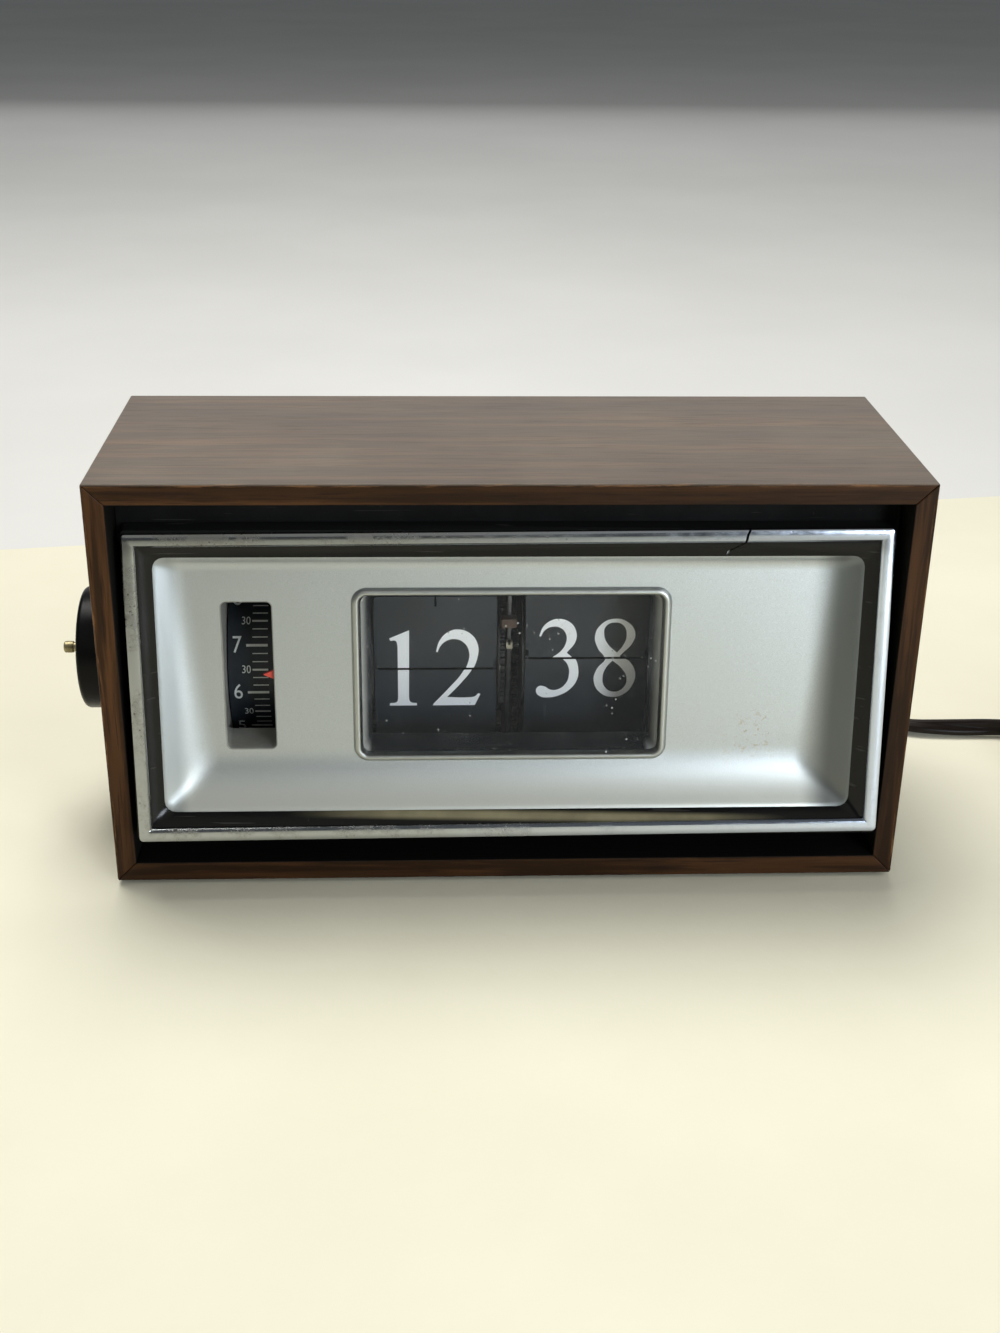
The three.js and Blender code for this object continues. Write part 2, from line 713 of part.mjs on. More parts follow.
// The flaps behind the front one: those still to fall fan out over the top and down the back,
// and those that have fallen hang from the lower half of the ring.
function flapStack(drum) {
  const ring = turned(
    [
      [FLAP_RING.radius - FLAP_RING.wall, drum.left],
      [FLAP_RING.radius, drum.left],
      [FLAP_RING.radius, drum.right],
      [FLAP_RING.radius - FLAP_RING.wall, drum.right],
      [FLAP_RING.radius - FLAP_RING.wall, drum.left],
    ],
    SPOOL.sides,
  );
  const step = 360 / drum.flaps;
  const flaps = [];
  for (let at = drum.angle + step; at < 180; at += step) {
    flaps.push(hiddenFlap(drum, at, at + 90 - drum.angle));
  }
  for (let at = -step; at > -180; at -= step) {
    flaps.push(hiddenFlap(drum, at, -90));
  }
  const behind = FLAP.y + FLAP.thickness / 2 + GAP;
  const lower = box(
    drum.left,
    drum.right,
    behind,
    behind + FLAP.thickness,
    drum.split - FLAP.length,
    drum.split - FLAP.below,
  );
  return join(ring, lower, ...flaps);
}

function frontFlap(drum) {
  const [front, back] = [FLAP.y - FLAP.thickness / 2, FLAP.y + FLAP.thickness / 2];
  const [bottom, top] = [drum.split + FLAP.above, drum.split + FLAP.length];
  return box(drum.left, drum.right, front, back, bottom, top);
}

function buildDrums() {
  const idler = besideShaft(IDLER.reach, IDLER.angle);
  const minutePinion = cut(
    gear(
      PINION_TEETH,
      IDLER.wheelModule,
      MINUTE_PINION_LEFT,
      MINUTES.left - SPOOL.play,
      AXIS.y,
      AXIS.z,
      idler.direction,
    ),
    rod(SPOOL.bore, 0, MINUTES.left, AXIS.y, AXIS.z, SPOOL.sides),
  );
  piece("minute_spool", join(spool(MINUTES), minutePinion), BLACK_PLASTIC);
  const hourWheel = cut(
    gear(
      HOUR_WHEEL_TEETH,
      IDLER.pinionModule,
      HOUR_WHEEL.left,
      HOUR_WHEEL.right,
      AXIS.y,
      AXIS.z,
      idler.direction,
    ),
    rod(SPOOL.bore, HOUR_WHEEL.left - 1, HOUR_WHEEL.right + 1, AXIS.y, AXIS.z, SPOOL.sides),
  );
  const collar = washer(SPOOL.hub, HOUR_COLLAR.left, HOUR_COLLAR.right, SPOOL.sides);
  piece("hour_spool", join(spool(HOURS), collar, hourWheel), BLACK_PLASTIC);
  piece("minute_flap_stack", flapStack(MINUTES), CHARCOAL);
  piece("hour_flap_stack", flapStack(HOURS), CHARCOAL);
  piece("minute_front_flap", frontFlap(MINUTES), CHARCOAL);
  piece("hour_front_flap", frontFlap(HOURS), CHARCOAL);

  const meet = idler.direction + Math.PI;
  piece(
    "hour_idler",
    join(
      gear(
        PINION_TEETH,
        IDLER.pinionModule,
        IDLER_PINION.left,
        IDLER_PINION.right,
        idler.y,
        idler.z,
        meet + Math.PI / PINION_TEETH,
      ),
      rod(IDLER_AXLE, IDLER_PINION.left + 1, IDLER_WHEEL.left + 0.2, idler.y, idler.z, 12),
      gear(
        IDLER.teeth,
        IDLER.wheelModule,
        IDLER_WHEEL.left,
        IDLER_WHEEL.right,
        idler.y,
        idler.z,
        meet + Math.PI / IDLER.teeth,
      ),
    ),
    BLACK_PLASTIC,
  );
}

// Spring fingers that hang from the crossbar over the middle of each front flap.
function buildCatches() {
  for (const [name, drum] of [["minute_catch", MINUTES], ["hour_catch", HOURS]]) {
    const tip = drum.split + FLAP.length + CATCH.clearance;
    const [front, back, level] = [FLAP.y - CATCH.sheet / 2, CROSSBAR.y - GLUE, CROSSBAR.z + CATCH.rise];
    const middle = (drum.left + drum.right) / 2;
    const outline = polygon([
      [front, tip],
      [front + CATCH.sheet, tip],
      [front + CATCH.sheet, level - CATCH.sheet],
      [back, level - CATCH.sheet],
      [back, level],
      [front, level],
    ]);
    piece(name, plateAcross(outline, middle - CATCH.width / 2, middle + CATCH.width / 2), STEEL);
  }
}

// ---------------------------------------------------------------- motor and its gears
function buildMotor() {
  const motor = besideShaft(DRIVE.reach, DRIVE.angle);
  const plateBack = PLATES.motor + SHEET;
  piece(
    "drive_wheel",
    cut(
      gear(DRIVE.teeth, DRIVE.module, DRIVE.left, DRIVE.right, AXIS.y, AXIS.z, motor.direction),
      rod(SPOOL.bore, DRIVE.left - 1, DRIVE.right + 1, AXIS.y, AXIS.z, 20),
    ),
    BRASS,
  );
  const springEnd = DRIVE.right + CLUTCH.spring;
  piece("clutch_spring", washer(CLUTCH.springRadius, DRIVE.right + GAP, springEnd), STEEL);
  piece("clutch_collar", washer(CLUTCH.collarRadius, springEnd + GAP, DRIVE.right + CLUTCH.collar), BRASS);
  piece(
    "motor_pinion",
    join(
      gear(
        PINION_TEETH,
        DRIVE.module,
        DRIVE.left,
        DRIVE.right,
        motor.y,
        motor.z,
        motor.direction + Math.PI + Math.PI / PINION_TEETH,
      ),
      rod(MOTOR_AXLE, DRIVE.right - 0.5, plateBack + GLUE, motor.y, motor.z, 12),
    ),
    STEEL,
  );
  const { front, back, bottom, top, left, right, limb, leg, arch } = STATOR;
  piece("rotor_capsule", rod(ROTOR_RADIUS, plateBack + 0.5, right, motor.y, motor.z, 28), COPPER);
  piece(
    "stator",
    cut(
      box(left, right, front, back, bottom, top),
      rod(ROTOR_RADIUS + GAP, left - 1, right + 1, motor.y, motor.z, 28),
      box(left - 1, right + 1, front + leg, back - leg, arch, top - limb),
    ),
    STEEL,
  );
  const [inset, thickness] = [WINDING.inset, WINDING.thickness];
  piece(
    "motor_coil",
    cut(
      box(
        left - thickness,
        right + thickness,
        front + inset,
        back - inset,
        top - limb - thickness,
        top + thickness,
      ),
      box(left - GAP, right + GAP, front, back, top - limb - GAP, top + GAP),
    ),
    COPPER,
  );
  const [reedBack, floor] = [front - REED.gap, FRAME.base + SHEET + GLUE];
  piece(
    "buzzer_reed",
    plateAcross(
      polygon([
        [reedBack - REED.foot, floor],
        [reedBack, floor],
        [reedBack, REED.top],
        [reedBack - REED.sheet, REED.top],
        [reedBack - REED.sheet, floor + REED.footSheet],
        [reedBack - REED.foot, floor + REED.footSheet],
      ]),
      left,
      right,
    ),
    STEEL,
  );
}

// ---------------------------------------------------------------- alarm
function buildAlarm() {
  piece("alarm_tube", washer(SLEEVE.radius, SLEEVE.left, SLEEVE.right), BRASS);
  const seat = SLEEVE.radius + GLUE;
  const { radius, left, right, wall, hub } = ALARM_DRUM;
  piece(
    "alarm_drum",
    turned(
      [
        [seat, right - hub],
        [seat + KNOB.wall, right - hub],
        [seat + KNOB.wall, right - wall],
        [radius - wall, right - wall],
        [radius - wall, left],
        [radius, left],
        [radius, right],
        [seat, right],
        [seat, right - hub],
      ],
      40,
    ),
    CHARCOAL,
  );
  piece(
    "alarm_cam",
    cut(
      turned(
        [
          [seat, ALARM_CAM.left],
          [ALARM_CAM.radius, ALARM_CAM.left],
          [ALARM_CAM.radius, ALARM_CAM.right],
          [seat, ALARM_CAM.right],
          [seat, ALARM_CAM.left],
        ],
        28,
      ),
      box(
        ALARM_CAM.left - 1,
        ALARM_CAM.right + 1,
        AXIS.y + ALARM_CAM.radius - ALARM_CAM.notch,
        AXIS.y + ALARM_CAM.radius + 1,
        AXIS.z - ALARM_CAM.notch / 2,
        AXIS.z + ALARM_CAM.notch / 2,
      ),
    ),
    CREAM_PLASTIC,
  );
  const { outer, inner, rim, depth } = KNOB;
  const [chamfer, skirt] = [0.3 * rim, KNOB.radius - KNOB.wall];
  piece(
    "alarm_knob",
    turned(
      [
        [seat, inner],
        [seat, SLEEVE.left - GAP],
        [SLEEVE.bore, SLEEVE.left - GAP],
        [SLEEVE.bore, outer],
        [KNOB.radius - rim, outer],
        [KNOB.radius - chamfer, outer + chamfer],
        [KNOB.radius, outer + rim],
        [KNOB.radius, inner],
        [skirt, inner],
        [skirt, inner - depth],
        [seat + KNOB.wall, inner - depth],
        [seat + KNOB.wall, inner],
        [seat, inner],
      ],
      32,
    ),
    BLACK_PLASTIC,
  );
}

// A rod across the movement: one arm feels the cam, the other holds the reed still until the alarm.
function buildAlarmLinkage() {
  const { width, height, camTip, reedTip } = ALARM_ARM;
  const arm = (x, [tipY, tipZ]) => {
    const lean = Math.atan2(tipZ - ALARM_ROD.z, tipY - ALARM_ROD.y);
    const length = Math.hypot(tipY - ALARM_ROD.y, tipZ - ALARM_ROD.z);
    return box(x, x + width, 0, length, -height / 2, height / 2)
      .rotateX(lean)
      .translate(0, ALARM_ROD.y, ALARM_ROD.z);
  };
  piece(
    "alarm_linkage",
    join(
      rod(ALARM_ROD.radius, ALARM_ROD.left, ALARM_ROD.right, ALARM_ROD.y, ALARM_ROD.z, 10),
      arm(ALARM_ROD.left, camTip),
      arm(ALARM_ROD.right - width, reedTip),
    ),
    STEEL,
  );
}

// ---------------------------------------------------------------- mains lead
function tube(points, radius, steps, sides = 8) {
  const section = polygon(
    Array.from({ length: sides }, (_, i) => [
      radius * Math.cos((2 * Math.PI * i) / sides),
      radius * Math.sin((2 * Math.PI * i) / sides),
    ]),
  );
  const path = new THREE.CatmullRomCurve3(
    points.map(([x, y, z]) => new THREE.Vector3(x, y, z)),
    false,
    "centripetal",
  );
  return new THREE.ExtrudeGeometry(section, { extrudePath: path, steps });
}

const RELIEF_TIP = COVER_BACK + GLUE + RELIEF.length;

// From the strain relief, down behind the case and along the table to the coil.
const LEAD_ROUTE = [
  [RELIEF.x, RELIEF_TIP + GAP, RELIEF.z],
  [RELIEF.x + 0.2, RELIEF_TIP + 8, RELIEF.z - 0.7],
  [RELIEF.x + 3, RELIEF_TIP + 16, RELIEF.z - 3.5],
  [RELIEF.x + 10, RELIEF_TIP + 23, RELIEF.z - 8],
  [68, 131.5, 3.4],
  [79, 129, 0.6],
  [90, 121.5, 0.2],
  [101, 111.5, 0.2],
  [112, 102, 0.6],
  [124, 93.5, 1.2],
  [137, 88, 1.4],
  [151, 86, 1.6],
  [165, 85, 2],
  [180, 82.4, 2.3],
  [191.6, 81, 2.3],
];
const TAIL_TURN = { radius: 31, start: 68, end: 20 };

function buildMainsLead() {
  const profile = [
    [0, COVER_FRONT - 3],
    [RELIEF.hole + 1, COVER_FRONT - 3],
    [RELIEF.hole + 1, COVER_FRONT - GAP],
    [RELIEF.hole, COVER_FRONT - GAP],
    [RELIEF.hole, COVER_BACK + GLUE],
    [RELIEF.base, COVER_BACK + GLUE],
    [RELIEF.base, COVER_BACK + 2],
    [RELIEF.hole, COVER_BACK + 3],
    [RELIEF.tip, RELIEF_TIP],
    [0, RELIEF_TIP],
  ].map(([radius, y]) => new THREE.Vector2(radius, y));
  piece(
    "strain_relief",
    new THREE.LatheGeometry(profile, 14).translate(RELIEF.x, 0, RELIEF.z),
    BLACK_PLASTIC,
    mainsLead,
  );
  piece("cord_lead", tube(LEAD_ROUTE, CORD_RADIUS, 44), BROWN_VINYL, mainsLead);

  const [inner, outer] = [COIL.radius - COIL.band / 2, COIL.radius + COIL.band / 2];
  const floor = COIL.bottom - FOOT.height;
  const ceiling = floor + COIL.height;
  const section = [
    [inner, floor],
    [outer, floor],
    [outer, ceiling],
    [inner, ceiling],
    [inner, floor],
  ].map(([radius, z]) => new THREE.Vector2(radius, z));
  piece(
    "cord_coil",
    new THREE.LatheGeometry(section, 36).rotateX(Math.PI / 2).translate(COIL.x, COIL.y, 0),
    BROWN_VINYL,
    mainsLead,
  );
  const [tieInner, tieOuter] = [GAP, COIL.bottom];
  piece(
    "cord_tie",
    cut(
      box(
        inner - tieOuter,
        outer + tieOuter,
        -TIE.width / 2,
        TIE.width / 2,
        floor - tieOuter,
        ceiling + tieOuter,
      ),
      box(inner - tieInner, outer + tieInner, -TIE.width, TIE.width, floor - tieInner, ceiling + tieInner),
    )
      .rotateZ(TIE.angle * DEGREE)
      .translate(COIL.x, COIL.y, 0),
    CREAM_PLASTIC,
    mainsLead,
  );
  buildPlug(ceiling);
}

// The last stretch climbs over the coil, and the plug lies on it.
function buildPlug(coilTop) {
  const tail = [];
  const steps = 6;
  const plugZ = coilTop + GAP + PLUG.lift;
  const startZ = coilTop + GAP + CORD_RADIUS;
  for (let i = 0; i <= steps; i += 1) {
    const angle = (TAIL_TURN.start + ((TAIL_TURN.end - TAIL_TURN.start) * i) / steps) * DEGREE;
    const rise = 0.5 - 0.5 * Math.cos((Math.PI * i) / steps);
    tail.push([
      COIL.x + TAIL_TURN.radius * Math.cos(angle),
      COIL.y + TAIL_TURN.radius * Math.sin(angle),
      startZ + (plugZ - startZ) * rise,
    ]);
  }
  piece("cord_tail", tube(tail, CORD_RADIUS, 12), BROWN_VINYL, mainsLead);

  const plug = new THREE.Group(); // the cord comes in at y = 0 and the blades point along -y
  const end = TAIL_TURN.end * DEGREE;
  plug.position.set(
    COIL.x + TAIL_TURN.radius * Math.cos(end),
    COIL.y + TAIL_TURN.radius * Math.sin(end),
    plugZ,
  );
  plug.rotation.z = end;
  const body = loft([
    { y: -PLUG.length, width: 22, height: 12.4, radius: 3 },
    { y: -20, width: 24, height: 12.8, radius: 4 },
    { y: -10, width: 18, height: 11, radius: 4 },
    { y: -GAP, width: 8, height: 7, radius: 3 },
  ]);
  piece("plug", body, BROWN_VINYL, plug);
  const bladeRoot = -PLUG.length - GAP;
  for (const [side, x] of [["left", -BLADE.spacing / 2], ["right", BLADE.spacing / 2]]) {
    piece(
      `plug_blade_${side}`,
      box(
        x - BLADE.thickness / 2,
        x + BLADE.thickness / 2,
        bladeRoot - BLADE.length,
        bladeRoot,
        -BLADE.width / 2,
        BLADE.width / 2,
      ),
      BRASS,
      plug,
    );
  }
  mainsLead.add(plug);
}

// The two conductors inside the case, from the strain relief to the motor coil.
function buildMotorLead() {
  const route = [
    [RELIEF.x + 2, COVER_FRONT - 5.5, RELIEF.z],
    [RELIEF.x + 14, COVER_FRONT - 4.5, RELIEF.z - 2],
    [78, COVER_FRONT - 5, 16],
    [89, 70, 30],
    [89, 62, 54],
    [86, 60, 68],
    [84, 60, 72],
  ];
  piece("motor_lead", tube(route, CONDUCTOR_RADIUS, 18, 6), BROWN_VINYL);
}

buildCase();
buildFeet();
buildRearCover();
buildAlarmSwitch();
buildBezel();
buildChromeTrim();
buildDial();
buildWindow();
buildPointer();
buildFrame();
buildShaft();
buildDrums();
buildCatches();
buildMotor();
buildAlarm();
buildAlarmLinkage();
buildMotorLead();
buildMainsLead();

// The origin is on the table, in the middle of the clock without its lead.
const size = new THREE.Box3().setFromObject(clock);
const flipClock = new THREE.Group();
flipClock.add(clock, mainsLead);
flipClock.position.set(-(size.min.x + size.max.x) / 2, -(size.min.y + size.max.y) / 2, -size.min.z);

export default flipClock;
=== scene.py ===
"""The looks of a flip alarm clock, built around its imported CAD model.

Shapes are written in millimetres in the clock's own frame: x = 0 in the middle of the case, y = 0 at its
front and z = 0 under it. The matrix CLOCK takes them to the shared frame, in metres.
"""

import math

import bmesh
import bpy
from mathutils import Matrix, Vector


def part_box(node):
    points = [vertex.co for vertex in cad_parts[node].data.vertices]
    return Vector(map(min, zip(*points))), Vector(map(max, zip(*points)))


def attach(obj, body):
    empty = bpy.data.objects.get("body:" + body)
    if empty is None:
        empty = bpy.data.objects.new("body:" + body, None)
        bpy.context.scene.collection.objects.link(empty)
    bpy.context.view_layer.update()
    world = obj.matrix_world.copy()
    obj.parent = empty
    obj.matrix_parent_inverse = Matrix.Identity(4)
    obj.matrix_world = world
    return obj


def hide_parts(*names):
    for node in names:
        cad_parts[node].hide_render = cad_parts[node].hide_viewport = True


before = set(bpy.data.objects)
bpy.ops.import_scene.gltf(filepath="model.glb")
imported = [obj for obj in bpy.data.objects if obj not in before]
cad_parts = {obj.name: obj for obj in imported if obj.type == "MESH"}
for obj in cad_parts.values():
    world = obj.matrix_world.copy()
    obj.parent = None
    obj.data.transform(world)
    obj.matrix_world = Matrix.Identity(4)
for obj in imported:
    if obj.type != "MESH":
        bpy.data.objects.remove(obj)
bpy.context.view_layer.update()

MM = 0.001
TAU = 2 * math.pi
SCENE = bpy.context.scene
case_low, case_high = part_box("case_bottom")
CLOCK = Matrix.Translation(((case_low.x + case_high.x) / 2, case_low.y, case_low.z)) @ Matrix.Scale(MM, 4)
TABLE_Z = -case_low.z / MM


def extent(node):
    """Lowest and highest corner of a CAD node, in the clock's millimetres."""
    low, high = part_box(node)
    to_clock = CLOCK.inverted()
    return to_clock @ low, to_clock @ high


CASE_HALF = extent("case_right")[1].x
CASE_TOP = extent("case_top")[1].z
INNER_HALF = extent("case_right")[0].x
INNER_LOW, INNER_HIGH = extent("case_bottom")[1].z, extent("case_top")[0].z


def rotation(degrees, axis):
    return Matrix.Rotation(math.radians(degrees), 4, axis)


def leaning(degrees, x, y, z):
    """The frame of something that leans back about the point (x, y, z) of the clock."""
    return CLOCK @ Matrix.Translation((x, y, z)) @ rotation(-degrees, "X")


def middle_of(node):
    """The middle of a CAD node, seen along y: its (x, z) in the clock's millimetres."""
    low, high = extent(node)
    return (low.x + high.x) / 2, (low.z + high.z) / 2


def placed(name, data):
    """A new object of the scene that shows the data."""
    thing = bpy.data.objects.new(name, data)
    SCENE.collection.objects.link(thing)
    return thing


# ---------- camera
EYE = (-21.35, -398.2, 250.4)
LENS, SENSOR = 45.16, 36
TURNED, LOOKS_DOWN, ROLLED = -2.64, 24.98, 0.80


def make_camera():
    """The camera stands in front of the clock and above it, and looks down at its dial."""
    data = bpy.data.cameras.new("camera")
    data.sensor_width = SENSOR
    data.lens = LENS
    data.clip_start = 10 * MM
    camera = placed("camera", data)
    aim = rotation(TURNED, "Z") @ rotation(90 - LOOKS_DOWN, "X") @ rotation(ROLLED, "Z")
    camera.matrix_world = Matrix.Translation(CLOCK @ Vector(EYE)) @ aim
    SCENE.camera = camera


# ---------- shapes
CREASE = 35


def neighbours(count):
    """Each index of a ring with the next one."""
    return [(i, (i + 1) % count) for i in range(count)]


def skin(rings, loop=False):
    """A mesh through rings that have the same number of points. With loop, the last ring joins the first."""
    shape = bmesh.new()
    rows = [[shape.verts.new(p) for p in ring] for ring in rings]
    pairs = list(zip(rows, rows[1:]))
    if loop:
        pairs.append((rows[-1], rows[0]))
    for a, b in pairs:
        for i, j in neighbours(len(a)):
            shape.faces.new((a[i], a[j], b[j], b[i]))
    if not loop:
        shape.faces.new(list(reversed(rows[0])))
        shape.faces.new(rows[-1])
    bmesh.ops.remove_doubles(shape, verts=shape.verts, dist=1e-5)
    bmesh.ops.recalc_face_normals(shape, faces=shape.faces)
    return shape


def rounded(width, height, radius, steps=6, x=0.0, z=0.0):
    """The (x, z) points of a rectangle with rounded corners."""
    points = []
    for corner in range(4):
        side_x = 1 if corner in (0, 3) else -1
        side_z = 1 if corner < 2 else -1
        for step in range(steps + 1):
            angle = (corner + step / steps) * math.pi / 2
            along = side_x * (width / 2 - radius) + radius * math.cos(angle)
            up = side_z * (height / 2 - radius) + radius * math.sin(angle)
            points.append((x + along, z + up))
    return points


def framed(sections, steps, loop=False):
    """A skin through rounded rectangles, one behind the other: (y, width, height, radius) for each."""
    rings = [[(x, y, z) for x, z in rounded(w, h, r, steps)] for y, w, h, r in sections]
    return skin(rings, loop)


def turned(profile, steps, axis, centre, loop=False):
    """A turned shape: profile lists (radius, place along the axis), and centre is where the axis stands."""
    rings = []
    for radius, along in profile:
        ring = []
        for i in range(steps):
            a = centre[0] + radius * math.cos(TAU * i / steps)
            b = centre[1] + radius * math.sin(TAU * i / steps)
            ring.append((along, a, b) if axis == "x" else (a, along, b))
        rings.append(ring)
    return skin(rings, loop)


def prism(points, y0, y1):
    """A plate with the outline of the (x, z) points, from y0 to y1."""
    return skin([[(x, y, z) for x, z in points] for y in (y0, y1)])


def block(x0, x1, y0, y1, z0, z1):
    shape = bmesh.new()
    place = Matrix.Translation(((x0 + x1) / 2, (y0 + y1) / 2, (z0 + z1) / 2))
    bmesh.ops.create_cube(shape, size=1, matrix=place @ Matrix.Diagonal((x1 - x0, y1 - y0, z1 - z0, 1)))
    return shape


def soften(shape, width, segments=2):
    """Rounds the edges that are sharper than CREASE."""
    sharp = [e for e in shape.edges if e.is_manifold and e.calc_face_angle() > math.radians(CREASE)]
    rounding = {"offset": width, "segments": segments, "profile": 0.5, "clamp_overlap": True}
    bmesh.ops.bevel(shape, geom=sharp, affect="EDGES", **rounding)
    return shape


def as_mesh(name, shape, place=Matrix()):
    """Mesh data of a shape, which is used up."""
    shape.transform(place)
    mesh = bpy.data.meshes.new(name)
    shape.to_mesh(mesh)
    shape.free()
    return mesh


def as_shape(thing, place):
    """A shape of what an object shows. The object, which only served for this, is removed."""
    mesh = applied(thing)
    bpy.data.objects.remove(thing)
    shape = bmesh.new()
    shape.from_mesh(mesh)
    shape.transform(place)
    bpy.data.meshes.remove(mesh)
    bmesh.ops.remove_doubles(shape, verts=shape.verts, dist=1e-4)
    return shape


def together(*shapes):
    whole = bmesh.new()
    for shape in shapes:
        mesh = as_mesh("part", shape)
        whole.from_mesh(mesh)
        bpy.data.meshes.remove(mesh)
    return whole


def shade(mesh, crease):
    mesh.shade_smooth()
    mesh.set_sharp_from_angle(angle=math.radians(crease))


def piece(name, shape, look, slot, place=CLOCK, body="clock", replaces=(), crease=CREASE):
    """Turns a shape in millimetres into a piece of the object that rides on a body."""
    mesh = as_mesh(name, shape, place)
    shade(mesh, crease)
    mesh.materials.append(look)
    thing = placed(name, mesh)
    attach(thing, body)
    if replaces:
        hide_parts(*replaces)
    return thing


def applied(thing):
    """New mesh data of an object as it shows, with its modifiers."""
    bpy.context.view_layer.update()
    graph = bpy.context.evaluated_depsgraph_get()
    return bpy.data.meshes.new_from_object(thing.evaluated_get(graph))


def bake(thing):
    """Puts a piece's modifiers into its mesh."""
    mesh = applied(thing)
    thing.modifiers.clear()
    thing.data = mesh


def cut(thing, *tools, place=CLOCK, crease=CREASE):
    """Cuts the tool shapes, in millimetres, out of a piece."""
    cutters = []
    for tool in tools:
        cutter = placed("cutter", as_mesh("cutter", tool, place))
        modifier = thing.modifiers.new("cut", "BOOLEAN")
        modifier.operation = "DIFFERENCE"
        modifier.solver = "EXACT"
        modifier.object = cutter
        cutters.append(cutter)
    bake(thing)
    for cutter in cutters:
        bpy.data.objects.remove(cutter)
    shade(thing.data, crease)


# ---------- materials
class Look:
    """A procedural material. Its methods add nodes; most return the socket that carries their result."""

    def __init__(self, name, color=(0.5, 0.5, 0.5), **sockets):
        self.material = bpy.data.materials.new(name)
        self.material.use_nodes = True
        self.tree = self.material.node_tree
        self.shader = next(n for n in self.tree.nodes if n.type == "BSDF_PRINCIPLED")
        self.color(color)
        for key, value in sockets.items():
            self.feed(self.shader, key.replace("_", " ").title().replace("Ior", "IOR"), value)
        self.where = self.add("TexCoord").outputs["Object"]

    def add(self, kind, inputs=(), **settings):
        node = self.tree.nodes.new("ShaderNode" + kind)
        for key, value in settings.items():
            setattr(node, key, value)
        for key, value in dict(inputs).items():
            self.feed(node, key, value)
        return node

    def feed(self, node, key, value):
        if isinstance(value, bpy.types.NodeSocket):
            self.tree.links.new(value, node.inputs[key])
        elif isinstance(value, tuple) and len(value) == 3 and node.inputs[key].type == "RGBA":
            node.inputs[key].default_value = (*value, 1)
        else:
            node.inputs[key].default_value = value

    def stretched(self, x=1.0, y=1.0, z=1.0):
        return self.add("Mapping", {"Vector": self.where, "Scale": (x, y, z)}).outputs["Vector"]

    def noise(self, scale, detail=4.0, roughness=0.5, where=None, distortion=0.0):
        inputs = {"Vector": where or self.where, "Scale": scale, "Detail": detail, "Roughness": roughness}
        return self.add("TexNoise", {**inputs, "Distortion": distortion}).outputs["Fac"]

    def specks(self, scale, size):
        """1 inside small round spots, 0 between them."""
        cells = self.add("TexVoronoi", {"Vector": self.where, "Scale": scale}, feature="F1")
        return self.step(cells.outputs["Distance"], size, size * 0.6)

    def step(self, value, start, end, low=0.0, high=1.0):
        """low below start and high above end, and smooth between; start may be the larger."""
        inputs = {"Value": value, "From Min": start, "From Max": end, "To Min": low, "To Max": high}
        return self.add("MapRange", inputs, interpolation_type="SMOOTHSTEP").outputs["Result"]

    def math(self, operation, a, b=0.0):
        node = self.add("Math", operation=operation)
        self.feed(node, 0, a)
        self.feed(node, 1, b)
        return node.outputs[0]

    def times(self, first, *others):
        for other in others:
            first = self.math("MULTIPLY", first, other)
        return first

    def plus(self, a, b):
        return self.math("ADD", a, b)

    def minus(self, a, b):
        return self.math("SUBTRACT", a, b)

    def apart(self, a, b):
        """How far two values are from each other."""
        return self.math("ABSOLUTE", self.minus(a, b))

    def mix(self, share, a, b):
        node = self.add("Mix", data_type="RGBA")
        for index, value in ((0, share), (6, a), (7, b)):
            self.feed(node, index, value)
        return node.outputs[2]

    def axis(self, name):
        """One coordinate of the surface in the clock's own millimetres."""
        index = "XYZ".index(name)
        value = self.add("SeparateXYZ", {"Vector": self.where}).outputs[index]
        return self.math("DIVIDE", self.minus(value, CLOCK.translation[index]), MM)

    def color(self, value):
        self.base = value
        self.feed(self.shader, "Base Color", value)

    def tones(self, share, a, b):
        """Colours the surface a where share is 0 and b where it is 1."""
        self.color(self.mix(share, a, b))

    def paint(self, share, color):
        """Lays another colour over the one so far: all of it where share is 1."""
        self.color(self.mix(share, self.base, color))

    def roughness(self, value):
        self.feed(self.shader, "Roughness", value)

    def bump(self, height, distance):
        """distance is the height of the relief in millimetres."""
        chained = self.shader.inputs["Normal"].links
        inputs = {"Height": height, "Distance": distance * MM, "Strength": 1.0}
        if chained:
            inputs["Normal"] = chained[0].from_socket
        self.feed(self.shader, "Normal", self.add("Bump", inputs).outputs["Normal"])


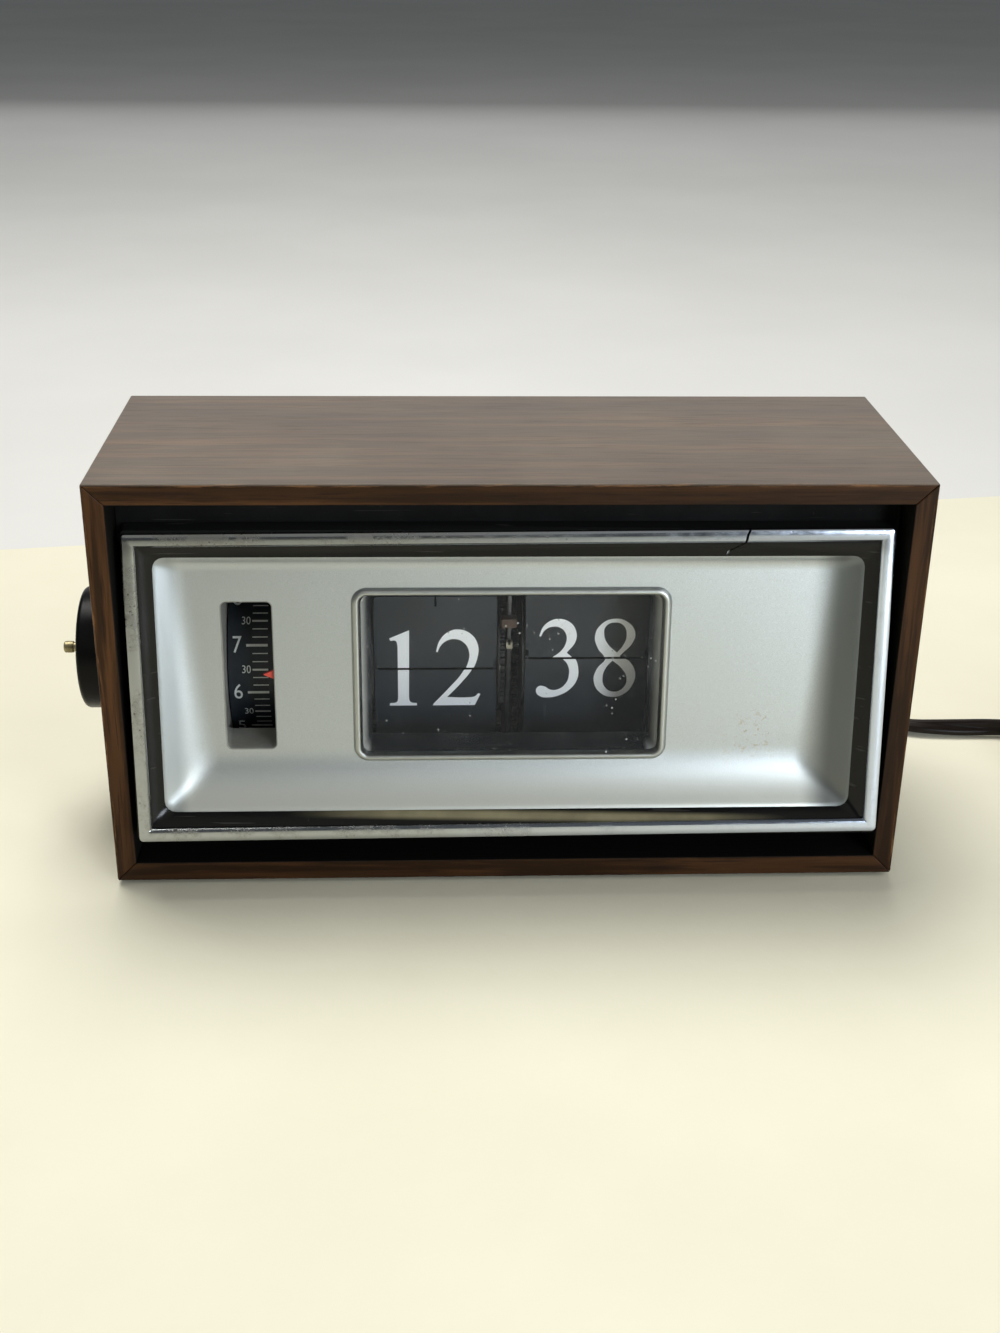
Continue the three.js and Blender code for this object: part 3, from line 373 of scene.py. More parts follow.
def walnut(name, along, seed):
    """Satin walnut with its grain along one axis: dust and a painted sheen on top, painted shade towards the
    bottom, worn at the front arris, black inside.
    """
    look = Look(name, specular_ior_level=0.12)
    grain = {"x": (0.05, 1.0, 1.0), "z": (1.0, 1.0, 0.05)}[along]
    board = {"Vector": look.where, "Scale": grain, "Location": (seed, seed, seed)}
    where = look.add("Mapping", board).outputs["Vector"]
    figure = look.noise(52, 6, 0.6, where, 0.9)
    streaks = look.noise(300, 4, 0.6, where, 0.3)
    pores = look.noise(1500, 2, 0.5, where)
    look.tones(look.step(figure, 0.3, 0.7), (0.024, 0.010, 0.004), (0.098, 0.042, 0.015))
    look.paint(look.step(streaks, 0.42, 0.58, 0, 0.85), (0.018, 0.008, 0.003))
    look.paint(look.step(pores, 0.56, 0.72, 0, 0.7), (0.016, 0.007, 0.004))
    across, up, depth = look.axis("X"), look.axis("Z"), look.axis("Y")
    # Painted shade: the boards grow darker towards the bottom of the case.
    look.paint(look.step(up, 100, 10, 0, 0.35), (0.012, 0.005, 0.002))
    side = look.apart(across, 0)
    from_front = look.step(depth, 1.2, 0.3)
    outward = look.minus(CASE_HALF, side) if along == "z" else look.minus(CASE_TOP, up)
    along_grain = look.stretched(*(4 * share + 0.05 for share in grain))
    chips = look.step(look.noise(420, 5, 0.7, along_grain), 0.5, 0.6)
    worn = look.times(from_front, look.step(outward, 1.1, 0.3), chips)
    look.paint(look.times(worn, 0.5), (0.30, 0.14, 0.055))
    cloudy = look.noise(24, 3, 0.6)
    # Dust together with a painted sheen: a pale grey-brown laid over the top face.
    settled = look.times(look.step(up, CASE_TOP - 0.6, CASE_TOP), look.step(cloudy, 0.2, 0.8, 0.2, 0.33))
    look.paint(settled, (0.44, 0.39, 0.33))
    within = look.times(
        look.step(side, INNER_HALF + 0.4, INNER_HALF),
        look.step(up, INNER_LOW - 0.4, INNER_LOW),
        look.step(up, INNER_HIGH + 0.4, INNER_HIGH),
    )
    look.paint(within, (0.004, 0.0035, 0.003))
    gloss = look.plus(look.step(cloudy, 0.3, 0.7, 0.3, 0.42), look.step(pores, 0.5, 0.7, 0, 0.12))
    look.roughness(look.plus(gloss, look.times(within, 0.5)))
    look.bump(pores, 0.03)
    look.bump(worn, -0.05)
    return look.material


def plastic(name, color, rough, grain=0.02, scale=1400, dust=0.0, shine=0.35):
    """Moulded plastic: faint grain, uneven gloss, and dust."""
    look = Look(name, color, specular_ior_level=shine)
    cloudy = look.noise(60, 4, 0.6)
    fine = look.noise(scale, 2, 0.5)
    look.paint(look.step(cloudy, 0.35, 0.7), tuple(c * 1.5 + 0.001 for c in color))
    if dust:
        settled = look.step(look.noise(420, 5, 0.75), 0.62, 0.75, 0, dust)
        look.paint(settled, (0.35, 0.33, 0.28))
    look.roughness(look.step(cloudy, 0.3, 0.75, rough - 0.05, rough + 0.1))
    look.bump(fine, grain)
    return look.material


def bezel_black():
    """Glossy black moulding with dust and fine scratches; a painted golden-brown reflection lies on a strip
    low on it.
    """
    look = Look("bezel_black", specular_ior_level=0.25)
    cloudy = look.noise(60, 4, 0.6)
    across, up, depth = look.axis("X"), look.axis("Z"), look.axis("Y")
    settled = look.step(look.noise(420, 5, 0.75), 0.62, 0.75, 0, 0.03)
    look.tones(settled, (0.003, 0.003, 0.003), (0.35, 0.33, 0.28))
    hair = look.noise(300, 2, 0.4, look.stretched(0.15, 1.0, 4.0))
    look.paint(look.step(hair, 0.69, 0.72, 0, 0.06), (0.3, 0.29, 0.27))
    # Painted reflection: a golden-brown band low on the inner flank, where the warm sill and table are
    # mirrored.
    reflection_line = look.minus(21.7, look.times(across, 0.018))
    strip = look.times(
        look.step(look.apart(up, reflection_line), 1.4, 0.3),
        look.step(depth, -5.8, -5.2),
        look.step(across, -62, -25),
        look.step(across, 78, 45),
        look.step(cloudy, 0.2, 0.8, 0.4, 0.8),
    )
    look.paint(strip, (0.36, 0.32, 0.19))
    dull = look.step(up, 95, 98, 0, 0.7)
    look.roughness(look.plus(look.step(cloudy, 0.3, 0.75, 0.11, 0.26), dull))
    look.bump(look.noise(1400, 2, 0.5), 0.02)
    return look.material


def metal(name, color, rough, tarnish=(0.2, 0.16, 0.1), amount=0.3):
    """Bare or plated metal: fine marks, with patches of tarnish."""
    look = Look(name, color, metallic=1.0)
    brushed = look.noise(900, 4, 0.6)
    patches = look.step(look.noise(70, 6, 0.7), 0.48, 0.75, 0, amount)
    look.paint(patches, tarnish)
    marks = look.step(brushed, 0.3, 0.7, rough - 0.06, rough + 0.08)
    look.roughness(look.plus(marks, look.times(patches, 0.5)))
    look.bump(brushed, 0.01)
    return look.material


def chrome():
    """Plated ring: bright, with pits and a brown bloom that is worse towards the left; painted light makes it
    darker at the left and along the top, brighter and bluer at the right.
    """
    look = Look("chrome", metallic=1.0)
    pits = look.specks(620, 0.22)
    bloom = look.noise(55, 7, 0.75)
    across = look.axis("X")
    stained = look.times(look.step(bloom, 0.45, 0.68), look.step(across, 60, -100, 0.25, 1.0))
    # Painted light: darker at the left, brighter and bluer at the right, where the cool light falls.
    look.tones(look.step(across, -60, 100), (0.38, 0.40, 0.41), (0.56, 0.62, 0.74))
    # Painted shade: darker along the top of the ring.
    look.paint(look.step(look.axis("Z"), 93, 97, 0, 0.5), (0.16, 0.17, 0.18))
    look.paint(look.times(stained, 0.75), (0.22, 0.2, 0.17))
    pitted = look.times(pits, stained)
    look.paint(pitted, (0.04, 0.035, 0.03))
    look.roughness(look.plus(look.step(bloom, 0.3, 0.7, 0.1, 0.2), look.times(stained, 0.3)))
    look.bump(look.noise(260, 3, 0.5), 0.015)
    look.bump(pitted, -0.06)
    return look.material


def silver_dial():
    """Silver paint with fine flakes, and brown specks of corrosion low on the right side; painted shade
    darkens its left side and its side walls, and painted light brightens its lower part.
    """
    look = Look("silver_dial", metallic=0.85)
    flakes = look.noise(5200, 2, 0.5)
    cloudy = look.noise(14, 3, 0.5)
    look.tones(look.step(flakes, 0.35, 0.65), (0.45, 0.48, 0.50), (0.55, 0.59, 0.61))
    look.paint(look.step(cloudy, 0.35, 0.7, 0, 0.3), (0.44, 0.46, 0.46))
    across, up = look.axis("X"), look.axis("Z")
    near = look.times(look.step(look.apart(across, 66.0), 10, 3), look.step(look.apart(up, 41.0), 11, 2))
    spots = look.times(look.step(look.noise(520, 5, 0.8), 0.54, 0.6), near)
    look.paint(look.times(spots, 0.75), (0.42, 0.36, 0.24))
    left, low = look.step(across, 40, -95, 0, 0.4), look.step(up, 37, 24, 0, 0.6)
    # Painted shade: darker towards the left.
    look.paint(left, (0.34, 0.36, 0.37))
    # Painted light: brighter and warmer towards the bottom, where the sill catches the light.
    look.paint(low, (0.72, 0.73, 0.66))
    # Painted shade: darkens the outer part of the left wall and, more strongly, the right wall of the dish.
    shade_left_wall, shade_right_wall = look.step(across, -86, -89.5, 0, 0.7), look.step(across, 79, 88, 0, 0.9)
    look.paint(shade_left_wall, (0.26, 0.28, 0.29))
    look.paint(shade_right_wall, (0.11, 0.12, 0.12))
    look.roughness(look.step(flakes, 0.3, 0.7, 0.32, 0.44))
    look.bump(flakes, 0.008)
    look.bump(spots, -0.03)
    return look.material


def clear_pane():
    """A clear pane with dust on it."""
    look = Look("clear_pane", (0.9, 0.92, 0.92), roughness=0.06)
    coarse = look.specks(330, 0.11)
    fine = look.specks(900, 0.14)
    patchy = look.step(look.noise(45, 4, 0.6), 0.45, 0.65)
    dust = look.times(look.math("MAXIMUM", coarse, look.times(fine, 0.5)), patchy)
    look.feed(look.shader, "Alpha", look.plus(look.times(dust, 0.45), 0.01))
    return look.material


def window_wall():
    """The sloped wall behind the pane: glossy black, greyer at its two ends towards the front."""
    look = Look("window_wall", roughness=0.25)
    pane_slope = 0.083
    deeper = look.minus(look.axis("Y"), look.times(look.axis("Z"), pane_slope))
    ends = look.step(look.apart(look.axis("X"), 0), 37.0, 38.6)
    cloudy = look.noise(120, 4, 0.6)
    pale = look.times(ends, look.step(deeper, 8.5, 2.0), look.step(cloudy, 0, 1, 0.8, 1.0))
    look.tones(pale, (0.012, 0.014, 0.016), (0.5, 0.51, 0.49))
    look.bump(cloudy, 0.02)
    return look.material


def flap_card():
    """Matt charcoal card with faint scuffs."""
    look = Look("flap_card", roughness=0.6)
    cloudy = look.noise(70, 5, 0.65)
    scuffs = look.noise(700, 3, 0.6, look.stretched(1.0, 1.0, 0.25))
    look.tones(look.step(cloudy, 0.3, 0.7), (0.009, 0.013, 0.018), (0.016, 0.022, 0.030))
    look.paint(look.step(scuffs, 0.6, 0.75, 0, 0.35), (0.06, 0.07, 0.08))
    look.roughness(look.step(scuffs, 0.35, 0.7, 0.45, 0.65))
    look.bump(scuffs, 0.01)
    return look.material


def print_white(name, color):
    """Screen-printed paint, slightly uneven."""
    look = Look(name, color, roughness=0.5)
    worn = look.noise(600, 5, 0.7)
    look.paint(look.step(worn, 0.6, 0.78, 0, 0.5), tuple(c * 0.55 for c in color))
    look.bump(worn, 0.006)
    return look.material


def winding():
    """A coil wrapped in copper-brown tape."""
    look = Look("winding", roughness=0.4)
    turns = look.add("TexWave", {"Vector": look.where, "Scale": 330, "Distortion": 0.4}, bands_direction="X")
    look.tones(turns.outputs["Fac"], (0.16, 0.06, 0.02), (0.36, 0.16, 0.06))
    look.roughness(look.step(look.noise(200), 0.3, 0.7, 0.35, 0.5))
    look.bump(turns.outputs["Fac"], 0.1)
    return look.material


def ground_look(name, dark, pale, cloud, peel, relief, rough, shine):
    """A matt surface, faintly clouded, with the fine unevenness of paint; rough is a range."""
    look = Look(name, specular_ior_level=shine)
    cloudy = look.noise(cloud, 4, 0.55)
    look.tones(look.step(cloudy, 0.3, 0.7), dark, pale)
    look.roughness(look.step(cloudy, 0.3, 0.7, *rough))
    look.bump(look.noise(peel, 3, 0.5), relief)
    return look.material


WALNUT_X = walnut("walnut_across", "x", 0.0)
WALNUT_Z = walnut("walnut_upright", "z", 3.0)
BEZEL_BLACK = bezel_black()
KNOB_BLACK = plastic("knob_black", (0.002, 0.002, 0.0025), 0.3, grain=0.004, shine=0.12)
# Painted shadow: matt black for the strips behind the flaps' hinges.
SHADOW_BLACK = plastic("shadow_black", (0.001, 0.001, 0.001), 0.8, shine=0.05)
SPOOL_BLACK = plastic("spool_black", (0.014, 0.014, 0.013), 0.5)
BROWN_BLOCK = plastic("brown_block", (0.055, 0.032, 0.021), 0.5)
CLIP_CREAM = plastic("dusty_cream", (0.26, 0.24, 0.18), 0.5)
COVER_BLACK = plastic("cover_black", (0.016, 0.015, 0.014), 0.55, grain=0.12, scale=900, dust=0.2)
CREAM = plastic("cream_plastic", (0.55, 0.50, 0.36), 0.45)
RUBBER = plastic("rubber", (0.02, 0.019, 0.018), 0.75, grain=0.06, scale=700, dust=0.2)
VINYL = plastic("brown_vinyl", (0.006, 0.003, 0.002), 0.36, scale=500, shine=0.16)
RED = plastic("red_paint", (0.50, 0.055, 0.04), 0.4)
# Painted shade: a darker grey copy of the dial's silver, for the tunnel behind the alarm slot.
SHADED_SILVER = plastic("shaded_silver", (0.22, 0.22, 0.20), 0.45)
CHROME = chrome()
SILVER = silver_dial()
RIM_SILVER = metal("rim_silver", (0.42, 0.44, 0.43), 0.36, amount=0.25, tarnish=(0.36, 0.36, 0.32))
STEEL = metal("zinc_steel", (0.50, 0.50, 0.49), 0.4, tarnish=(0.25, 0.2, 0.14))
DARK_STEEL = metal("dark_steel", (0.10, 0.10, 0.10), 0.5, tarnish=(0.05, 0.04, 0.03))
BRASS = metal("brass", (0.58, 0.42, 0.18), 0.28, amount=0.4, tarnish=(0.26, 0.18, 0.09))
SHAFT_GREY = metal("worn_shaft", (0.30, 0.26, 0.15), 0.4, amount=0.5, tarnish=(0.10, 0.08, 0.04))
COPPER = metal("copper_capsule", (0.50, 0.24, 0.12), 0.34)
PANE = clear_pane()
CARD = flap_card()
FUNNEL_GREY = window_wall()
WHITE = print_white("white_numerals", (0.88, 0.91, 0.93))
DIM_WHITE = print_white("scale_print", (0.60, 0.63, 0.62))
COIL_TAPE = winding()


# ---------- mains lead
LEAD_ROUTE = (
    (48, 104.5, 16), (48.2, 112.2, 15.3), (51, 120.2, 12.5), (58, 127.2, 8), (68, 131.5, 3.4),
    (79, 129, 0.6), (90, 121.5, 0.2), (101, 111.5, 0.2), (112, 102, 0.6), (124, 93.5, 1.2),
    (137, 88, 1.4), (151, 86, 1.6), (165, 85, 2.0), (180, 82.4, 2.3), (191.6, 81, 2.35),
)
CORD_WIDTH, CORD_THICKNESS = 5.5, 2.8
COIL_X, COIL_Y = 208.0, 46.3
COIL_RADII = (34.7, 31.6, 28.5, 25.4)
# Heights of the coil's two layers, and of the tail that lies on them.
LAYERS = (2.35, 7.95)
ON_TOP = 12.9
PLUG_Z, PLUG_ANGLE, TAIL_RADIUS = 17.9, 20.0, 31.0
# Between these places, in x, the lead turns from lying flat to standing on edge.
LEAD_TURN = (130, 172)
# When the coil's turns step inwards, up, outwards, up on top of the others, and to the tail's radius.
STEP_IN, STEP_UP, STEP_OUT, STEP_ON_TOP, STEP_TO_TAIL = (
    (0.80, 0.98), (3.66, 3.84), (6.48, 6.66), (7.62, 7.95), (7.72, 8.06)
)


def eased(value, start, end):
    """0 before start, 1 after end, smooth between."""
    t = min(max((value - start) / (end - start), 0.0), 1.0)
    return t * t * (3 - 2 * t)


def through(points, spacing):
    """Evenly spaced points on a smooth curve through the given ones."""
    dense, fineness = [], 24
    padded = [points[0] * 2 - points[1], *points, points[-1] * 2 - points[-2]]
    for a, b, c, d in zip(padded, padded[1:], padded[2:], padded[3:]):
        for i in range(fineness):
            t = i / fineness
            bend = (2 * a - 5 * b + 4 * c - d) * t**2 + (3 * b - a - 3 * c + d) * t**3
            dense.append(0.5 * (2 * b + (c - a) * t + bend))
    dense.append(points[-1])
    every = max(1, round(spacing / (dense[1] - dense[0]).length))
    return dense[::every] + [points[-1]]


def around_coil(radius, degrees, height):
    angle = math.radians(degrees)
    return Vector((COIL_X + radius * math.cos(angle), COIL_Y + radius * math.sin(angle), height))


def coil_point(turn):
    """A place in the coil: four turns inwards, a step up on the inside, and out again to the tail."""
    radius = COIL_RADII[0]
    for k, (outer, inner) in enumerate(zip(COIL_RADII, COIL_RADII[1:])):
        radius += (outer - inner) * (eased(turn + k, *STEP_OUT) - eased(turn - k, *STEP_IN))
    radius += (TAIL_RADIUS - COIL_RADII[0]) * eased(turn, *STEP_TO_TAIL)
    height = LAYERS[0] + (LAYERS[1] - LAYERS[0]) * eased(turn, *STEP_UP)
    height += (ON_TOP - LAYERS[1]) * eased(turn, *STEP_ON_TOP)
    return around_coil(radius, 90 - 360 * turn, height)


def cord_line():
    """The lead's centre line, each point with the roll of its section: 0 is flat and 90 on edge."""
    line = [(p, 90 * eased(p.x, *LEAD_TURN)) for p in through([Vector(p) for p in LEAD_ROUTE], 2)]
    steps, last, laid_flat = 48, STEP_TO_TAIL[1], (7.66, 7.95)
    count = int(last * steps)
    for i in range(count + 1):
        turn = last * i / count
        line.append((coil_point(turn), 90 - 90 * eased(turn, *laid_flat)))
    start = 90 - 360 * (last - 8)
    rise_steps = 12
    for i in range(1, rise_steps + 1):
        t = i / rise_steps
        height = ON_TOP + (PLUG_Z - ON_TOP) * eased(t, 0, 1)
        line.append((around_coil(TAIL_RADIUS, start + (PLUG_ANGLE - start) * t, height), 0.0))
    return line


def twin_section():
    """The outline of a flat twin cord: two round conductors with a web between them."""
    radius = CORD_THICKNESS / 2
    offset = CORD_WIDTH / 2 - radius
    around = [math.radians(degrees) for degrees in range(-140, 141, 20)]
    right = [(offset + radius * math.cos(a), radius * math.sin(a)) for a in around]
    left = [(-x, -y) for x, y in right]
    return right + left


def make_lead():
    """Sweeps the cord along its line. Gives the piece, and its path and length in metres."""
    line = cord_line()
    points = [p for p, _ in line]
    section = twin_section()
    rings = []
    for i, (point, roll) in enumerate(line):
        ahead = (points[min(i + 1, len(points) - 1)] - points[max(i - 1, 0)]).normalized()
        side = ahead.cross(Vector((0, 0, 1))).normalized()
        above = side.cross(ahead)
        turn = Matrix.Rotation(math.radians(roll), 3, ahead)
        rings.append([point + turn @ (side * x + above * y) for x, y in section])
    nodes = ("cord_lead", "cord_coil", "cord_tail")
    lead = piece("mains_lead", skin(rings), VINYL, "brown_vinyl", replaces=nodes, crease=80)
    path = [CLOCK @ p for p in points]
    length = sum((b - a).length for a, b in zip(path, path[1:]))
    return lead, path, length


def make_plug():
    """The moulded plug lies on the coil, its blades pointing away from the cord."""
    end = around_coil(TAIL_RADIUS, PLUG_ANGLE, PLUG_Z)
    place = CLOCK @ Matrix.Translation(end) @ rotation(PLUG_ANGLE, "Z")
    sections = [
        (-28, 20.6, 10.6, 2.6), (-27.2, 22.2, 12.0, 3.0), (-24, 23.2, 12.6, 3.4), (-20, 23.8, 12.7, 4.0),
        (-15, 21.6, 12.0, 4.2), (-10, 17.4, 10.6, 4.2), (-5, 11.6, 8.4, 3.8), (-0.4, 7.4, 5.4, 2.6),
        (1.5, 6.4, 3.8, 1.8),
    ]
    shapes = [framed(sections, steps=8)]
    for x in (-9.3, 9.3):
        for y in (-13.0, -10.5, -8.0):
            shapes.append(soften(block(x - 1.6, x + 1.6, y - 0.55, y + 0.55, -4.4, 4.4), 0.4))
    shape = together(*shapes)
    return piece("moulded_plug", shape, VINYL, "brown_vinyl", place=place, replaces=("plug",), crease=50)


def make_tie():
    """A flat band round the coil."""
    low, high = COIL_RADII[-1] - CORD_THICKNESS / 2, COIL_RADII[0] + CORD_THICKNESS / 2
    bottom, top = LAYERS[0] - CORD_WIDTH / 2, LAYERS[1] + CORD_WIDTH / 2
    band = [(0.35, 1.7), (0.45, 2.0), (0.85, 2.0), (0.95, 1.7)]
    other_edge = [(offset, -y) for offset, y in reversed(band)]
    rings = []
    for offset, y in band + other_edge:
        width, height = high - low + 2 * offset, top - bottom + 2 * offset
        ring = rounded(width, height, 1.2 + offset, 5, (low + high) / 2, (bottom + top) / 2)
        rings.append([(x, y, z) for x, z in ring])
    place = CLOCK @ Matrix.Translation((COIL_X, COIL_Y, 0)) @ rotation(-120, "Z")
    shape = skin(rings, loop=True)
    return piece("coil_tie", shape, CREAM, "cream_plastic", place=place, replaces=("cord_tie",))


def make_strain_relief():
    """A tapered sleeve with rings, clipped into the rear cover."""
    inside, tip = (corner.y for corner in extent("strain_relief"))
    cover = extent("rear_cover")[1].y
    profile = [
        (0, inside), (5.2, inside), (5.4, inside + 0.3), (5.4, inside + 2.4), (4.4, inside + 2.7),
        (4.4, cover + 0.1), (5.6, cover + 0.1), (6.0, cover + 0.5), (6.0, cover + 1.6), (5.6, cover + 2.0),
    ]
    count, start = 7, cover + 3.2
    pitch = (tip - start - 1.2) / count
    for i in range(count):
        base = start + pitch * i
        radius = 4.5 - 1.2 * i / (count - 1)
        profile += [
            (radius, base), (radius, base + 0.6 * pitch), (radius - 0.55, base + 0.68 * pitch),
            (radius - 0.6, base + 0.95 * pitch),
        ]
    profile += [(3.3, tip - 0.9), (3.3, tip - 0.3), (3.0, tip), (0, tip)]
    shape = turned(profile, 40, "y", middle_of("strain_relief"))
    return piece("cord_sleeve", shape, RUBBER, "black_plastic", replaces=("strain_relief",))


def make_mains_lead():
    """The lead with its plug, the tie of its coil and the sleeve where it leaves the cover."""
    lead, path, length = make_lead()
    plug = make_plug()
    tie = make_tie()
    make_strain_relief()


make_camera()
make_mains_lead()


# ---------- CAD nodes that keep their shape
def keep(node, look, width):
    """Gives a CAD node its material and softens its edges by width millimetres."""
    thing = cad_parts[node]
    thing.data.materials.clear()
    thing.data.materials.append(look)
    weld = thing.modifiers.new("weld", "WELD")
    weld.merge_threshold = 1e-6
    if width:
        bevel = thing.modifiers.new("bevel", "BEVEL")
        bevel.width = width * MM
        bevel.segments = 2
        bevel.limit_method = "ANGLE"
        bevel.angle_limit = math.radians(CREASE)
        bevel.harden_normals = False


# Looks, the widths of the rounded edges, and the nodes that have them.
KEPT = (
    (WALNUT_X, 0.3, ("case_top", "case_bottom")),
    (WALNUT_Z, 0.3, ("case_left", "case_right")),
    (COVER_BLACK, 0.3, ("rear_cover",)),
    (RUBBER, 0.3, ("foot_front_left", "foot_front_right", "foot_rear_left", "foot_rear_right")),
    (RED, 0.15, ("alarm_pointer",)),
    (PANE, 0.1, ("window_lens",)),
    (STEEL, 0.15, (
        "chassis_base", "end_bracket", "motor_plate", "rear_tie_rod", "clutch_spring", "motor_pinion",
        "buzzer_reed", "alarm_linkage", "stator",
    )),
    (DARK_STEEL, 0.1, (
        "frame_plate_left", "centre_plate", "frame_plate_right", "top_crossbar", "minute_catch", "hour_catch",
    )),
    (BRASS, 0.15, ("drive_wheel", "clutch_collar", "alarm_tube", "plug_blade_left", "plug_blade_right")),
    (SPOOL_BLACK, 0.1, ("minute_spool", "hour_spool", "hour_idler")),
    (CREAM, 0.1, ("alarm_cam",)),
    (COPPER, 0.3, ("rotor_capsule",)),
    (COIL_TAPE, 0.6, ("motor_coil",)),
    (CARD, 0.0, ("minute_flap_stack", "hour_flap_stack")),
    (VINYL, 0.0, ("motor_lead",)),
)
for look, width, nodes in KEPT:
    for node in nodes:
        keep(node, look, width)


# ---------- bezel and chrome ring
RING_BAND = 3.5
ring_low, ring_high = extent("chrome_trim")
RING_WIDTH = ring_high.x - ring_low.x
RING_HEIGHT = 84.4
RING_TWIST = 0.35
FACE = leaning(8.18, 0, -1.0, 58.75)
CRACK_HALF = 0.32


def crack(depth):
    """The break across the top of the bezel: a thin zigzag blade, as wide as the gap that it leaves."""
    line = [(67.2, 48.0), (66.6, 44.4), (61.6, 42.6), (61.0, 41.2), (60.6, 38.8), (56.8, 36.4), (56.4, 35.4)]
    ahead, band_low, flank_slope = -3.0, 38.8, 1.9
    edge = [(x - CRACK_HALF, z) for x, z in line] + [(x + CRACK_HALF, z) for x, z in reversed(line)]
    shape = bmesh.new()
    near = [shape.verts.new((x, ahead, z)) for x, z in edge]
    far = [shape.verts.new((x, depth + flank_slope * max(band_low - z, 0), z)) for x, z in edge]
    shape.faces.new(near)
    shape.faces.new(far)
    for i, j in neighbours(len(edge)):
        shape.faces.new((near[i], near[j], far[j], far[i]))
    bmesh.ops.triangulate(shape, faces=shape.faces)
    bmesh.ops.recalc_face_normals(shape, faces=shape.faces)
    return shape


def make_bezel():
    """The bezel of the CAD model with softened edges, and the crack across its top."""
    shape = bmesh.new()
    shape.from_mesh(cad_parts["bezel"].data)
    bmesh.ops.remove_doubles(shape, verts=shape.verts, dist=1e-6)
    shape.transform(CLOCK.inverted())
    bmesh.ops.dissolve_limit(shape, angle_limit=math.radians(1), verts=shape.verts, edges=shape.edges)
    soften(shape, 0.25)
    bezel = piece("bezel_moulding", shape, BEZEL_BLACK, "black_plastic", replaces=("bezel",))
    cut(bezel, crack(2.2), place=FACE)


def make_chrome_ring():
    """A flat ring, rounded outside and chamfered inside, that has slipped a little round in the case."""
    profile = [
        (0.0, 1.2), (0.0, 0.4), (0.12, 0.14), (0.4, 0.0), (1.5, -0.05), (2.6, -0.02), (2.95, 0.06),
        (3.3, 0.42), (3.5, 0.75), (3.5, 1.2),
    ]
    outer_corner, inner_corner = 1.1, 0.2
    sections = []
    for inset, y in profile:
        radius = outer_corner - (outer_corner - inner_corner) * inset / RING_BAND
        sections.append((y, RING_WIDTH - 2 * inset, RING_HEIGHT - 2 * inset, radius))
    shape = framed(sections, 5, loop=True)
    place = FACE @ rotation(-RING_TWIST, "Y")
    ring = piece("chrome_ring", shape, CHROME, "chrome", place=place, replaces=("chrome_trim",))
    cut(ring, crack(3.0), place=FACE, crease=30)


# ---------- dial
DIAL_WIDTH = 186.0
PANEL_LEAN = 4.77
RIM_TOP_Y, RIM_TOP_Z = 7.5, 92.6
RIM_BOTTOM_Y, RIM_BOTTOM_Z = -2.3, 22.9
PANEL_BOTTOM_Y, PANEL_BOTTOM_Z = 4.27, 29.96
RIM_SLOPE = (RIM_TOP_Y - RIM_BOTTOM_Y) / (RIM_TOP_Z - RIM_BOTTOM_Z)
PANEL_SLOPE = math.tan(math.radians(PANEL_LEAN))
WING_SLOPE = 1 / 2.1
SILL_SLOPE = 0.79
FOLD = 1.9
SILL_FOLD = 7.0


def softest(a, b, reach):
    """The smaller of two numbers, with a smooth turn where they meet."""
    h = max(reach - abs(a - b), 0) / reach
    return min(a, b) - h * h * reach / 4


def panel_depth(z):
    """How far back the middle panel is at a height."""
    return PANEL_BOTTOM_Y + (z - PANEL_BOTTOM_Z) * PANEL_SLOPE


def dial_depth(x, z):
    """How far back the dish is at (x, z): the panel, or the wall beside, below or above it."""
    rim = RIM_BOTTOM_Y + RIM_SLOPE * (z - RIM_BOTTOM_Z)
    wing = rim + (DIAL_WIDTH / 2 - abs(x)) * WING_SLOPE
    sill = rim + (z - RIM_BOTTOM_Z) * SILL_SLOPE
    brow = RIM_TOP_Y + RIM_TOP_Z - z
    low = softest(panel_depth(z), sill, SILL_FOLD)
    return max(softest(low, softest(wing, brow, FOLD), FOLD), rim + 0.1)


window_low, window_high = extent("window_rim")
WINDOW_X, WINDOW_Z = (window_low.x + window_high.x) / 2, 59.0
WINDOW_Y = panel_depth(WINDOW_Z)
WINDOW_WIDTH, WINDOW_HEIGHT, WINDOW_CORNER = window_high.x - window_low.x, 48.4, 3.7
WINDOW = leaning(PANEL_LEAN, WINDOW_X, WINDOW_Y, WINDOW_Z)
SLOT_LEFT, SLOT_RIGHT, SLOT_BOTTOM, SLOT_TOP, SLOT_BACK = -76.3, -62.9, 38.2, 79.8, 17.0
SLOT_X, SLOT_Z = (SLOT_LEFT + SLOT_RIGHT) / 2, (SLOT_BOTTOM + SLOT_TOP) / 2
drum_low, drum_high = extent("alarm_drum")
DRUM_RADIUS = (drum_high.z - drum_low.z) / 2
DRUM_LEFT = drum_low.x + 0.9


def slot_ring(grow, depth):
    """The slot's outline, wider by grow all round; depth gives its y at (x, z)."""
    width, height = SLOT_RIGHT - SLOT_LEFT + 2 * grow, SLOT_TOP - SLOT_BOTTOM + 2 * grow
    return [(x, depth(x, z), z) for x, z in rounded(width, height, 1.5 + grow, 6, SLOT_X, SLOT_Z)]


def window_section(inset, y, radius):
    return y, WINDOW_WIDTH - 2 * inset, WINDOW_HEIGHT - 2 * inset, radius


